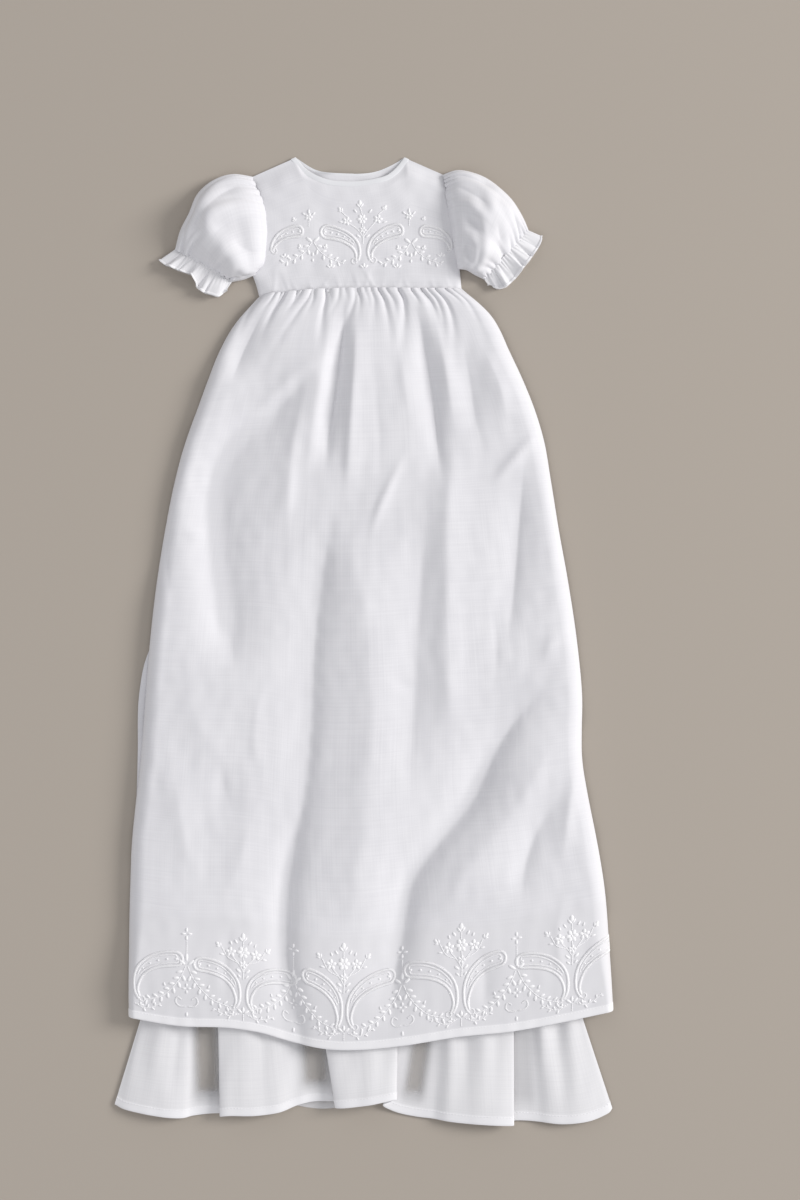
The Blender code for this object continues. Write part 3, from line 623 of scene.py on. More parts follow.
# %% Bodice outlines
SIDE_LEFT = ((-103, 342), (-106, 354), (-110, 365))
SIDE_RIGHT = ((98, 351), (97, 361), (96, 371))
ARMHOLE_LEFT = ((-110, 365), (-100, 376), (-98, 390), (-97, 408), (-99, 430), (-104, 446), (-112, 462))
ARMHOLE_RIGHT = ((96, 371), (92, 391), (88, 420), (84, 444), (82, 464))
SHOULDER_LEFT = ((-112, 462), (-88, 472), (-67, 482))
SHOULDER_RIGHT = ((82, 464), (64, 472), (41, 482))
NECK_FRONT = ((-67, 482), (-56, 470), (-39, 461), (-16, 458), (8, 460), (25, 465), (34, 473), (41, 482))
NECK_BACK = ((-67, 482), (-47, 470), (-18, 466), (12, 468), (33, 477), (41, 482))
OPENING_TOP_X = -17.0
OPENING_WAIST_X = -4.0
BACK_SHARE = 0.47
NECK_LENGTH = 112.0
OPENING_LAP = 7.0
NECK_TUCK = 2.2         # the bodice stops this far under the neck binding


def neck_inner(line, width):
    """The panel's neck edge, set back from the finished neckline by the binding's width."""
    outline = path(line)

    def at(share):
        share = np.clip(np.asarray(share, float), 0, 1)
        step = outline(np.clip(share + 0.01, 0, 1)) - outline(np.clip(share - 0.01, 0, 1))
        step /= np.linalg.norm(step, axis=-1, keepdims=True)
        out = np.stack([step[..., 1], -step[..., 0]], axis=-1)
        lean = 1 - np.abs(2 * share - 1) ** 6
        shoulder = np.stack([np.sign(share - 0.5) * 0.9, np.full(share.shape, -0.42)], axis=-1)
        return outline(share) + (out * lean[..., None] + shoulder * (1 - lean)[..., None]) * width

    return at


def shoulders_and_neck(neck, corner):
    inner = neck_inner(neck, NECK_TUCK)
    ends = inner(np.array([0.0, 1.0]))
    left = path((SHOULDER_LEFT[0], ends[0]))
    right = path((ends[1], SHOULDER_RIGHT[0]))
    return chain((corner, left), (1 - 2 * corner, inner), (corner, right))


# %% Bodice front
def bodice_front(u, v):
    left = chain((0.25, path(SIDE_LEFT)), (0.75, path(ARMHOLE_LEFT)))
    right = chain((0.25, path(SIDE_RIGHT)), (0.75, path(ARMHOLE_RIGHT)))
    xy = filled(path(WAIST_ROWS), shoulders_and_neck(NECK_FRONT, 0.25), left, right)(u, v)
    x, y = xy[..., 0], xy[..., 1]
    from_side = np.minimum(u, 1 - u)
    armhole = (ARMHOLE_Z - 2.6) * np.sin(math.pi * np.clip((v - 0.1) / 0.9, 0, 1)) ** 0.8
    edge = SEAM_EDGE_Z + np.maximum(armhole - SEAM_EDGE_Z, 0)
    middle = BODICE_FRONT_Z + BODICE_LOFT * (1 - 0.5 * v) * np.sin(math.pi * np.clip(v, 0.08, 0.92))
    z = edge + (middle - edge) * rolled(from_side, 0.10)
    shoulder = smoothstep(1.0, 0.86, v) + 0.95 * smoothstep(0.25, 0.40, from_side) * smoothstep(0.74, 0.90, v)
    z = SEAM_EDGE_Z + (z - SEAM_EDGE_Z) * np.clip(shoulder, 0, 1)
    up = y - path(WAIST_ROWS)(u)[..., 1]
    inside = smoothstep(0, 0.08, from_side) * smoothstep(1.0, 0.9, v)
    z += inside * (0.30 + 0.28 * rumple(x, y, 51, 16, 55, lean=0.9))
    z -= gathers(u, WAIST_WIDTH, up, 22, 53, 0.5, 16) * smoothstep(0, 3, up) + 0.3 * smoothstep(7, 4, up)
    for side in (0, 1):
        far = (u if side == 0 else 1 - u) * 200
        z += 0.35 * smoothstep(34, 4, far) * np.sin(y / 4.6 + side + 0.05 * far) * inside
    return np.stack([x, y, z], axis=-1)


u, v = grid(150, 110)
bodice_front_piece = shell("bodice_front_cloth", u, v, bodice_front(u, v), CLOTH, (0.215, 0.145))


# %% Bodice backs and neck binding
def opening_x(y):
    return through((WAIST_Y, 466), (OPENING_WAIST_X, OPENING_TOP_X), y)


def bodice_back(half):
    left = half == "left"
    side_line, armhole = (SIDE_LEFT, ARMHOLE_LEFT) if left else (SIDE_RIGHT, ARMHOLE_RIGHT)
    lap = OPENING_LAP if left else -OPENING_LAP
    end_share = BACK_SHARE + lap / NECK_LENGTH
    inner = neck_inner(NECK_BACK, NECK_TUCK)

    def neck(share):
        return inner(share * end_share if left else 1 - share * (1 - end_share))

    def at(u, v):
        """u runs from the side seam to the opening's edge."""
        side = chain((0.25, path(side_line)), (0.75, path(armhole)))
        top = chain((0.45, path((armhole[-1], neck(np.array(0.0))))), (0.55, neck))
        waist_end = np.array([OPENING_WAIST_X + lap, WAIST_Y])
        waist = path((side_line[0], ((side_line[0][0] + waist_end[0]) / 2, 350), waist_end))
        xy = filled(waist, top, side, path((waist_end, top(np.array(1.0)))))(u, v)
        x, y = xy[..., 0], xy[..., 1]
        away = np.abs(x - opening_x(y))
        lift = OPENING_LIFT * smoothstep(40, 20, away)
        if left:
            lift = lift + LAYER * smoothstep(34, 16, away)
        return np.stack([x, y, lift + 0.1], axis=-1)

    return at


def neck_binding(u, v):
    """u runs round the neck from one edge of the back opening to the other; v is across the binding."""
    around = np.minimum(u, 1 - u)
    on_front = around >= 0.25
    from_right = BACK_SHARE - OPENING_LAP / NECK_LENGTH
    from_left = BACK_SHARE + OPENING_LAP / NECK_LENGTH
    s_right = from_right + (1 - from_right) * (u / 0.25)
    s_left = from_left * (u - 0.75) / 0.25
    s_back = np.clip(np.where(u < 0.5, s_right, s_left), 0, 1)
    s_front = 1 - (u - 0.25) / 0.5
    width = BINDING_W
    front, front_inner = path(NECK_FRONT)(s_front), neck_inner(NECK_FRONT, width)(s_front)
    back, back_inner = path(NECK_BACK)(s_back), neck_inner(NECK_BACK, width)(s_back)
    edge = np.where(on_front[..., None], front, back)
    inner = np.where(on_front[..., None], front_inner, back_inner)
    xy = edge + (inner - edge) * v[..., None]
    bodice_z = bodice_front(0.25 + 0.5 * np.clip(s_front, 0, 1), np.full(u.shape, 0.985))[..., 2]
    front_z = np.maximum(bodice_z, 1.6) + 0.34 - 0.5 * (1 - v) ** 3
    at_opening = smoothstep(0.16, 0.07, around)
    back_z = 0.5 + OPENING_LIFT * at_opening + LAYER * at_opening * (u > 0.5)
    return np.stack([xy[..., 0], xy[..., 1], np.where(on_front, front_z, back_z)], axis=-1)


for half in ("left", "right"):
    u, v = grid(60, 60)
    shell(
        f"bodice_back_{half}_cloth", u, v, bodice_back(half)(u, v), CLOTH, (0.115, 0.135),
        outward=1 if half == "left" else -1,
    )
u, v = grid(240, 12)
round_over = 0.25 + 0.45 * rolled(np.minimum(v, 1 - v), 0.12)
shell("neck_binding_cloth", u, v, neck_binding(u, v), round_over, (0.25, 0.014))

# %% [markdown]
# ## Sleeves and frills
#
# A puffed sleeve is a wide tube gathered onto a small armhole and a small cuff. Its form comes from
# the line of its upper edge, the line of its lower edge and one row of heights. The gathers push
# the cloth in along its own normals, since the sleeve's sides are steep. The frill is a second short
# tube whose free edge flutes.

# %% Sleeve rows
SLEEVES = {
    "left": {
        "armhole": ARMHOLE_LEFT,
        "upper": ((-112, 463), (-131, 465), (-151, 458), (-165, 445), (-173, 426), (-182, 408), (-187, 389)),
        "lower": ((-111, 365), (-118, 361), (-131, 358)),
        "body_side": 1,
    },
    "right": {
        "armhole": ARMHOLE_RIGHT,
        "upper": ((82, 465), (94, 469), (114, 465), (134, 453), (149, 438), (160, 420), (165, 408)),
        "lower": ((97, 371), (104, 370), (112, 365), (122, 360)),
        "body_side": -1,
    },
}
# Height of the sleeve along its length, as share of length and height
SLEEVE_HEIGHTS = ((0.0, 6.5), (0.1, 17.0), (0.3, 24.5), (0.6, 27.5), (0.86, 18.0), (1.0, 9.5))
SLEEVE_EDGE_Z = 4.5
ARMHOLE_TUCK = 2.0      # the sleeve head runs this far under the bodice
# Soft creases of each sleeve, as places round it from its upper edge and along it from the armhole
SLEEVE_CREASES = {
    "left": (
        # height, left spread, right spread, line
        (-4.0, 11, 6, ((22, 4), (30, 24), (34, 46))),
        (-4.2, 12, 6, ((52, 3), (55, 26), (50, 52))),
        (2.2, 6, 8, ((40, 8), (43, 30), (41, 58))),
        (-2.6, 8, 5, ((82, 4), (77, 20), (66, 34))),
        (-2.2, 7, 5, ((30, 74), (33, 60), (42, 46))),
    ),
    "right": (
        (-3.4, 9, 5, ((30, 3), (38, 22), (42, 44))),
        (-3.2, 9, 5, ((60, 4), (60, 24), (66, 46))),
        (2.2, 6, 8, ((48, 8), (50, 30), (54, 52))),
        (-2.4, 8, 5, ((88, 6), (80, 24), (76, 40))),
        (-2.0, 7, 5, ((58, 72), (54, 58), (46, 48))),
    ),
}
CUFF_GAP = -1.2         # below zero, so the frill starts under the cuff
FRILL_MEET_Z = 4.0
# The frill's free edge, from the cuff's upper end
FRILLS = {
    "left": (
        # along, out, z
        (-9, 17, 4), (-2, 18, 8), (6, 17, 11), (15, 16, 8), (27, 14, 12),
        (33, 20, 7), (40, 23, 5), (52, 22, 8), (61, 18, 6), (63, 10, 4),
    ),
    "right": (
        (-5, 14, 5), (2, 18, 9), (9, 19, 6), (15, 20, 8), (29, 21, 11),
        (43, 22, 7), (53, 21, 9), (60, 19, 6), (64, 11, 4), (66, 6, 3),
    ),
}
SLEEVE_LENGTH = 78.0
SLEEVE_ROUND = 118.0    # over the top of the sleeve, at its fullest and at its cuff
CUFF_ROUND = 74.0


# %% Sleeves
def sleeve(side, u, v):
    """u runs round the sleeve from its upper edge over the top; v from the armhole to the cuff."""
    form = SLEEVES[side]
    armhole, upper_line, lower_line = (path(form[edge]) for edge in ("armhole", "upper", "lower"))
    over = np.sin(2 * math.pi * u)
    chord = (1 - np.cos(2 * math.pi * u)) / 2
    upper, lower = upper_line(v), lower_line(v)
    xy = upper + (lower - upper) * chord[..., None]
    straight = upper_line(0.0) + (lower_line(0.0) - upper_line(0.0)) * chord[..., None]
    xy = xy + (armhole(1 - chord) - straight) * ((1 - v) ** 2)[..., None]
    height = through(column(SLEEVE_HEIGHTS, 0), column(SLEEVE_HEIGHTS, 1), v)
    edge = np.minimum(SLEEVE_EDGE_Z, height / 2)
    top = edge + (height - edge) * np.abs(over) ** 0.8
    under = edge * np.clip(1 - 1.8 * np.abs(over), 0, 1) ** 2
    seam = form["body_side"] * ARMHOLE_TUCK * (1 - v) ** 3
    z = 0.8 + np.where(over >= 0, top, under)
    points = np.stack([xy[..., 0] + seam, xy[..., 1], z], axis=-1)
    turn = -form["body_side"]
    normals = grid_normals(points, True) * turn
    seed = 71 if side == "left" else 83
    reach = v * SLEEVE_LENGTH
    around = np.where(u <= 0.5, 2 * u, 2 - 2 * u)
    cap = 0.12 + 0.88 * smoothstep(0.50, 0.18, around)
    push = gathers(around, SLEEVE_ROUND, reach, 19, seed, 2.5, 20) * cap
    push += gathers(around, CUFF_ROUND, SLEEVE_LENGTH - reach, 15, seed + 1, 2.4, 13)
    for height, spread_left, spread_right, line in SLEEVE_CREASES[side]:
        push += fold(around * SLEEVE_ROUND, reach, height, spread_left, spread_right, line)
    broad = np.sin(2 * math.pi * (around * 2.3 + v * 0.6) + seed)
    uneven = rumple(around * SLEEVE_ROUND, reach, seed + 2, 16, 50, lean=0.8)
    push += 1.1 * np.sin(math.pi * v) * (broad + uneven)
    push -= 1.2 * np.exp(-((reach / 2.0) ** 2))
    on_top = smoothstep(-0.05, 0.35, over)
    points = points + normals * (push * on_top)[..., None]
    points[..., 2] = np.maximum(points[..., 2], 0.8)
    return points


def sleeve_frill(side, u, v):
    """u runs round the frill, over the top from the sleeve's upper edge; v out to its free edge."""
    form = SLEEVES[side]
    start = np.array(form["upper"][-1], float)
    end = np.array(form["lower"][-1], float)
    along = (end - start) / np.linalg.norm(end - start)
    out = np.array([along[1], -along[0]]) * form["body_side"]
    over = u <= 0.5
    share = np.where(over, 2 * u, 2 - 2 * u)
    at_edge = path(np.array(FRILLS[side], float))(share)
    cuff = start + (end - start) * share[..., None] + out * CUFF_GAP
    place = start + along * at_edge[..., :1] + out * at_edge[..., 1:2]
    xy = cuff + (place - cuff) * v[..., None]
    cuff_z = 4.5 + 5.0 * np.sin(math.pi * share)
    lift = cuff_z + (at_edge[..., 2] - cuff_z) * v
    ripple = 0.6 * (1 + np.sin(5 * math.pi * share)) * v
    apart = np.sin(math.pi * share) ** 0.4
    seed = 3.0 if side == "left" else 1.2
    drift = share + 0.035 * np.sin(2 * math.pi * 2.3 * share + seed)
    flutes = np.sin(2 * math.pi * 5.6 * drift + seed) + 0.7 * np.sin(2 * math.pi * 9.4 * drift + 2 * seed)
    sway = 0.9 * np.cos(2 * math.pi * 6.5 * share + seed) * v * apart
    xy = xy + along * (1.6 * sway)[..., None]
    top = FRILL_MEET_Z + (np.maximum(lift + 1.7 * flutes * v**0.8, ripple + 2.6) - FRILL_MEET_Z) * apart
    top += 0.5 * np.sin(2 * math.pi * 21 * share + seed) * (1 - v) ** 2 * apart
    low = FRILL_MEET_Z + (ripple - FRILL_MEET_Z) * apart
    return np.stack([xy[..., 0], xy[..., 1], 0.8 + np.where(over, top, low)], axis=-1)


for side in ("left", "right"):
    turn = -SLEEVES[side]["body_side"]
    u, v = grid(200, 84)
    shell(f"sleeve_{side}_cloth", u, v, sleeve(side, u, v), CLOTH, (0.20, 0.11), tube=True, outward=turn)
    edge = np.concatenate([np.linspace(0, 0.90, 30), np.linspace(0.90, 1, 9)[1:]])
    u, v = grid(260, edge)
    rolled_edge = 0.6 + 0.9 * smoothstep(0.90, 0.94, v)
    shell(
        f"sleeve_frill_{side}_cloth", u, v, sleeve_frill(side, u, v), rolled_edge, (0.17, 0.019),
        tube=True, outward=turn,
    )

# %% [markdown]
# ## Buttons
#
# The three buttons close the back, so they lie under the gown. Each is turned: a rim, a dished
# middle and a hole through it.

# %% Back buttons
BUTTON_RINGS = (
    # share of the radius, share of the height
    (0.18, 0.50), (0.60, 0.50), (0.72, 0.62), (0.80, 0.92), (0.88, 1.0), (0.96, 0.92), (1.0, 0.6),
    (0.98, 0.2), (0.90, 0.0), (0.5, 0.0), (0.18, 0.0),
)


def turned(name, low, high, steps=36):
    """A round button between two corners of a box, with a hole through its middle."""
    middle, size = (low + high) / 2, high - low
    angles = np.arange(steps) * 2 * math.pi / steps
    rings = [
        [
            (
                middle.x + size.x / 2 * share * math.cos(a),
                middle.y + size.y / 2 * share * math.sin(a),
                high.z - size.z * rise,
            )
            for a in angles
        ]
        for share, rise in BUTTON_RINGS
    ]
    corners = [corner for ring in rings for corner in ring]
    faces = []
    for i in range(len(rings)):
        ring, after = i * steps, (i + 1) % len(rings) * steps
        faces += [
            (ring + j, ring + (j + 1) % steps, after + (j + 1) % steps, after + j) for j in range(steps)
        ]
    mesh = bpy.data.meshes.new(name)
    mesh.from_pydata(corners, [], faces)
    work = bmesh.new()
    work.from_mesh(mesh)
    bmesh.ops.recalc_face_normals(work, faces=work.faces)
    work.to_mesh(mesh)
    work.free()
    mesh.shade_smooth()
    return in_scene(name, mesh)


for number in (1, 2, 3):
    low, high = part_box(f"back_button_{number}")
    turned(f"back_button_{number}_shell", Vector(low), Vector(high))
print("buttons turned")

# %% [markdown]
# ## White work
#
# The embroidery is thread laid over the cloth, so it is made the way it is sewn: first the lines of
# each motif, then stitches along them. One Geometry Nodes tree resamples a line at the stitch pitch
# and puts a small rounded stitch at every step, turned along the line and standing on the cloth. A
# second tree puts one satin leaf or petal at each point. The motifs are drawn from a few rows each
# and mirrored, and everything is laid on the cloth by a ray straight down onto it.

# %% Stitch trees
def node_tree(name, sizes):
    """A Geometry Nodes tree with a geometry input, named size inputs and a material input."""
    tree = bpy.data.node_groups.new(name, "GeometryNodeTree")
    tree.interface.new_socket("Geometry", in_out="INPUT", socket_type="NodeSocketGeometry")
    tree.interface.new_socket("Geometry", in_out="OUTPUT", socket_type="NodeSocketGeometry")
    for label, value in sizes.items():
        socket = tree.interface.new_socket(label, in_out="INPUT", socket_type="NodeSocketFloat")
        socket.default_value = value
    tree.interface.new_socket("Thread", in_out="INPUT", socket_type="NodeSocketMaterial")
    return tree


def add(tree, kind, *links, **settings):
    """One node of a tree: its settings, then what feeds each socket in turn (None leaves it alone)."""
    node = tree.nodes.new(kind)
    for key, value in settings.items():
        setattr(node, key, value)
    sockets = [socket for socket in node.inputs if socket.enabled]
    for socket, source in zip(sockets, links):
        if isinstance(source, bpy.types.NodeSocket):
            tree.links.new(source, socket)
        elif source is not None:
            socket.default_value = source
    return node


def vector_named(tree, name):
    return add(tree, "GeometryNodeInputNamedAttribute", name, data_type="FLOAT_VECTOR").outputs[0]


def planted(tree, given, points, shape, along, size):
    """Puts a shape at every point, upright on the cloth and turned along it, as real meshes."""
    turn = "FunctionNodeAlignRotationToVector"
    upright = add(tree, turn, None, 1.0, vector_named(tree, "up"), axis="Z").outputs[0]
    turned_on = add(tree, turn, upright, 1.0, along, axis="X", pivot_axis="Z").outputs[0]
    placed = add(tree, "GeometryNodeInstanceOnPoints", points)
    for label, source in (("Instance", shape), ("Rotation", turned_on), ("Scale", size)):
        tree.links.new(source, placed.inputs[label])
    real = add(tree, "GeometryNodeRealizeInstances", placed.outputs[0])
    smooth = add(tree, "GeometryNodeSetShadeSmooth", real.outputs[0])
    coloured = add(tree, "GeometryNodeSetMaterial", smooth.outputs[0])
    tree.links.new(given["Thread"], coloured.inputs["Material"])
    tree.links.new(coloured.outputs[0], tree.nodes.new("NodeGroupOutput").inputs[0])
    return tree


def line_stitch_tree():
    """Stitches one after another along every line."""
    sizes = {"Along": 0.001, "Across": 0.001, "Height": 0.0005, "Pitch": 0.001}
    tree = node_tree("stitches_along_lines", sizes)
    given = tree.nodes.new("NodeGroupInput").outputs
    lines = add(tree, "GeometryNodeMeshToCurve", given["Geometry"])
    walked = add(tree, "GeometryNodeResampleCurve", lines.outputs[0], mode="LENGTH")
    tree.links.new(given["Pitch"], walked.inputs["Length"])
    tangent = tree.nodes.new("GeometryNodeInputTangent").outputs[0]
    stitch = add(tree, "GeometryNodeMeshIcoSphere", 0.5, 1).outputs[0]
    size = add(tree, "ShaderNodeCombineXYZ", given["Along"], given["Across"], given["Height"]).outputs[0]
    return planted(tree, given, walked.outputs[0], stitch, tangent, size)


def satin_tree():
    """One satin leaf, petal or dot at every point, by the point's own size and direction."""
    tree = node_tree("satin_shapes", {})
    given = tree.nodes.new("NodeGroupInput").outputs
    points = add(tree, "GeometryNodeMeshToPoints", given["Geometry"]).outputs[0]
    shape = add(tree, "GeometryNodeMeshIcoSphere", 0.5, 2).outputs[0]
    return planted(tree, given, points, shape, vector_named(tree, "along"), vector_named(tree, "size"))


def grown(name, mesh, tree, sizes, thread):
    """Runs a tree on a mesh once and keeps the result as a plain mesh."""
    seedling = in_scene(name, mesh)
    modifier = seedling.modifiers.new("Stitches", "NODES")
    modifier.node_group = tree
    by_name = {item.name: item.identifier for item in tree.interface.items_tree if item.in_out == "INPUT"}
    for label, value in sizes.items():
        modifier[by_name[label]] = value
    modifier[by_name["Thread"]] = thread
    graph = bpy.context.evaluated_depsgraph_get()
    made = bpy.data.meshes.new_from_object(seedling.evaluated_get(graph))
    bpy.data.objects.remove(seedling)
    made.name = name
    return made


# %% Motifs
class Whitework:
    """The embroidery of one panel: lines to stitch along, and satin shapes, in the panel's flat x and y."""

    def __init__(self, place):
        self.place = place
        self.lines = {"bold": [], "fine": [], "stem": []}
        self.shapes = []

    def line(self, kind, points):
        ends = np.asarray(points, float)
        smooth = path(ends)(np.linspace(0, 1, max(8, 6 * len(ends)))) if len(ends) > 2 else ends
        length = np.linalg.norm(np.diff(smooth, axis=0), axis=1).sum()
        self.lines[kind].append(self.place(path(ends)(np.linspace(0, 1, max(3, int(length / 0.9))))))

    def satin(self, x, y, angle, length, width):
        a = math.radians(angle)
        ends = self.place(np.array([[x, y], [x + math.cos(a), y + math.sin(a)]], float))
        run = ends[1] - ends[0]
        self.shapes.append((ends[0], run / np.linalg.norm(run), length, width))

    def moved(self, across, tall=1.0):
        """The same embroidery drawn from a place further across, and stretched upwards."""
        near = Whitework(lambda points: self.place(np.asarray(points, float) * (1, tall) + (across, 0)))
        near.lines, near.shapes = self.lines, self.shapes
        return near

    def spray(self, x, y, reach, angles, length, width):
        """Satin shapes that point away from one place."""
        for angle in angles:
            a = math.radians(angle)
            self.satin(x + reach * math.cos(a), y + reach * math.sin(a), angle, length, width)

    def leaves(self, m, rows):
        """Satin shapes on side m of a motif: how far out, how far up, lean from upright, length, width."""
        for out, up, lean, length, width in rows:
            self.satin(m * out, up, 90 - m * lean, length, width)

    def flower(self, x, y, radius, petals=6, turn=0.0):
        angles = [turn + 360 * i / petals for i in range(petals)]
        self.spray(x, y, radius * 0.58, angles, radius * 0.9, radius * 0.62)
        self.satin(x, y, 0, radius * 0.4, radius * 0.4)

    def bud(self, x, y, angle, length):
        self.satin(x, y, angle, length, length * 0.55)
        a = math.radians(angle)
        for lean in (-38, 38):
            b = math.radians(angle + lean)
            self.satin(x - 0.7 * length * math.cos(a) + 0.45 * length * math.cos(b),
                       y - 0.7 * length * math.sin(a) + 0.45 * length * math.sin(b),
                       angle + lean, length * 0.75, length * 0.3)

    def vine(self, points, leaf, gap, side=1):
        """A stem with leaves that alternate along it."""
        self.line("stem", points)
        walk = path(points)
        steps = max(2, int(np.linalg.norm(np.diff(points, axis=0), axis=1).sum() / gap))
        for i in range(1, steps + 1):
            share = i / (steps + 0.4)
            here, ahead = walk(np.array(share)), walk(np.array(min(share + 0.02, 1)))
            angle = math.degrees(math.atan2(*(ahead - here)[::-1]))
            lean = 52 * side * (1 if i % 2 else -1)
            b = math.radians(angle + lean)
            size = leaf * (1 - 0.25 * share)
            self.satin(here[0] + 0.62 * size * math.cos(b), here[1] + 0.62 * size * math.sin(b),
                       angle + lean, size, size * 0.46)

    def paisley(self, spine, widths, m, dots=5):
        """A drop whose tail curls: its spine and half-widths from tail to head. m mirrors it."""
        spine = np.array(spine, float) * (m, 1)
        walk = path(spine)
        share = np.linspace(0, 1, 46)
        centre = walk(share)
        run = np.gradient(centre, axis=0)
        run /= np.linalg.norm(run, axis=1, keepdims=True)
        across = np.stack([-run[:, 1], run[:, 0]], axis=1)
        head = widths[-1]
        far = np.linalg.norm(np.diff(centre, axis=0), axis=1).sum() * (1 - share)
        for kind, inset in (("bold", 0.0), ("fine", 3.0)):
            half = through(np.linspace(0, 1, len(widths)), widths, share) * rolled(far + 0.02, head)
            half = np.maximum(half - inset, 0)
            kept = slice(0, None) if inset == 0 else slice(15, -3)
            ring = np.concatenate([(centre + across * half[:, None])[kept],
                                   (centre - across * half[:, None])[kept][::-1]])
            self.line(kind, ring[::2])
        for i in range(dots):
            x, y = walk(np.array(0.44 + 0.48 * i / max(dots - 1, 1)))
            size = (1.9 + 0.25 * i) * head / 6.8
            self.satin(x, y, 0, size, size * 0.9)
        turns = np.linspace(0, 1.55 * math.pi, 9)
        inward = math.copysign(1, spine[-1][0] - spine[0][0])
        curl = spine[0] + np.stack([inward * (2.6 - 2.6 * np.cos(turns)), -2.6 * np.sin(turns)], axis=1)
        self.line("fine", curl)


# Each paisley of the border: tail first, from its pair's centre line and up from the hem
BORDER_SPINE = ((9, 22), (6, 29), (6, 38), (10, 50), (19, 59.5), (32, 66), (45, 68.5), (52, 68.5))
BORDER_WIDTHS = (0.9, 1.9, 3.4, 4.8, 5.9, 6.8, 7.0, 6.4)
PAIRS = (
    # x, reach of the left paisley, reach of the right paisley, share of height
    (-231, 1.0, 1.0, 0.97), (-119, 0.94, 1.02, 0.91), (-19, 0.79, 0.98, 1.02), (98, 1.09, 0.85, 1.08),
    (208, 1.07, 1.0, 1.0),
)


def skirt_border(work, low=-240.0, high=248.0):
    for pair, reach_left, reach_right, tall in PAIRS:
        base = work.moved(pair, tall)
        sides = [m for m in (-1, 1) if low < pair + m * 30 < high]
        for m in sides:
            reach = reach_left if m < 0 else reach_right
            base.paisley(np.array(BORDER_SPINE) * (reach, 1), BORDER_WIDTHS, m)
            base.leaves(m, ((10, 17, 0, 3.6, 2.0), (12.6, 15.4, 60, 2.8, 1.4), (7.6, 15.6, -60, 2.8, 1.4)))
            base.vine(((m * 5, 16), (m * 13, 13), (m * 21, 15), (m * 29, 20)), 4.4, 4.0, m)
        if len(sides) < 2:
            continue
        base.line("stem", ((0, 56), (0.6, 70), (0, 80)))
        base.flower(0, 84, 6.4)
        base.flower(0, 71, 4.2, petals=5)
        base.bud(0, 101, 90, 7.6)
        base.line("stem", ((0, 90), (0, 98)))
        for m in (-1, 1):
            base.line("stem", ((0, 64), (m * 5, 72), (m * 10, 78)))
            base.flower(m * 12.5, 83, 5.4, petals=5, turn=18)
            base.line("stem", ((m * 5, 72), (m * 15, 77), (m * 21, 87)))
            base.bud(m * 25, 91, 90 - m * 42, 5.6)
            base.leaves(m, (
                (4.5, 64, 50, 6.0, 2.6), (3.8, 58, 45, 4.6, 2.0), (21, 80, 80, 5.0, 2.0),
                (7, 95, 35, 5.0, 2.2), (12, 93, 20, 4.2, 1.8),
            ))
        base.spray(0, 17, 4.2, (90, 38, 142), 6.4, 2.6)
        base.line("stem", ((0, 10), (0, 16)))
    middles = [(a[0] + b[0]) / 2 for a, b in zip(PAIRS[:-1], PAIRS[1:])]
    for middle in middles:
        base = work.moved(middle)
        for m in (-1, 1):
            garland = ((m * 1.5, 59), (m * 6, 49), (m * 14, 38), (m * 26, 27), (m * 41, 21))
            base.vine(garland, 6.8, 4.0, m)
            base.leaves(m, ((4.6, 64, 55, 8.2, 3.0),))
            base.line("fine", ((m * 2, 20), (m * 7, 20), (m * 11, 24), (m * 9, 29), (m * 5.5, 27)))
            base.leaves(m, ((3.2, 92, 90, 4.6, 2.2), (22, 40, 20, 4.0, 1.7)))
        base.leaves(1, ((0, 69, 0, 8.0, 3.0), (0, 96, 0, 4.8, 2.2), (0, 88, 0, 4.8, 2.2)))
        base.line("stem", ((0, 73), (0, 84)))
        for angle in (0, 90, 180, 270):
            a = math.radians(angle)
            base.satin(2.6 * math.cos(a), 38 + 3.4 * math.sin(a), angle, 3.6, 1.9)
        base.satin(0, 12, 90, 5.0, 2.2)


# The bodice band's four paisleys, tail first
BAND = (
    # spine, half-widths, dots
    (((-6, 378), (-5, 385), (-8, 394), (-16, 401), (-29, 406), (-42, 408)),
     (0.9, 2.6, 4.4, 5.4, 6.2, 6.4), 5),
    (((8, 379), (7, 387), (11, 396), (20, 403.5), (31, 408), (40, 409)), (0.9, 2.6, 4.4, 5.4, 6.2, 6.4), 5),
    (((-91, 388), (-88, 396), (-81, 403), (-71, 407), (-60, 408)), (0.9, 2.6, 4.2, 5.2, 5.6), 4),
    (((88, 390), (86, 397), (79, 404), (69, 407), (57, 408)), (0.9, 2.6, 4.2, 5.2, 5.6), 4),
)


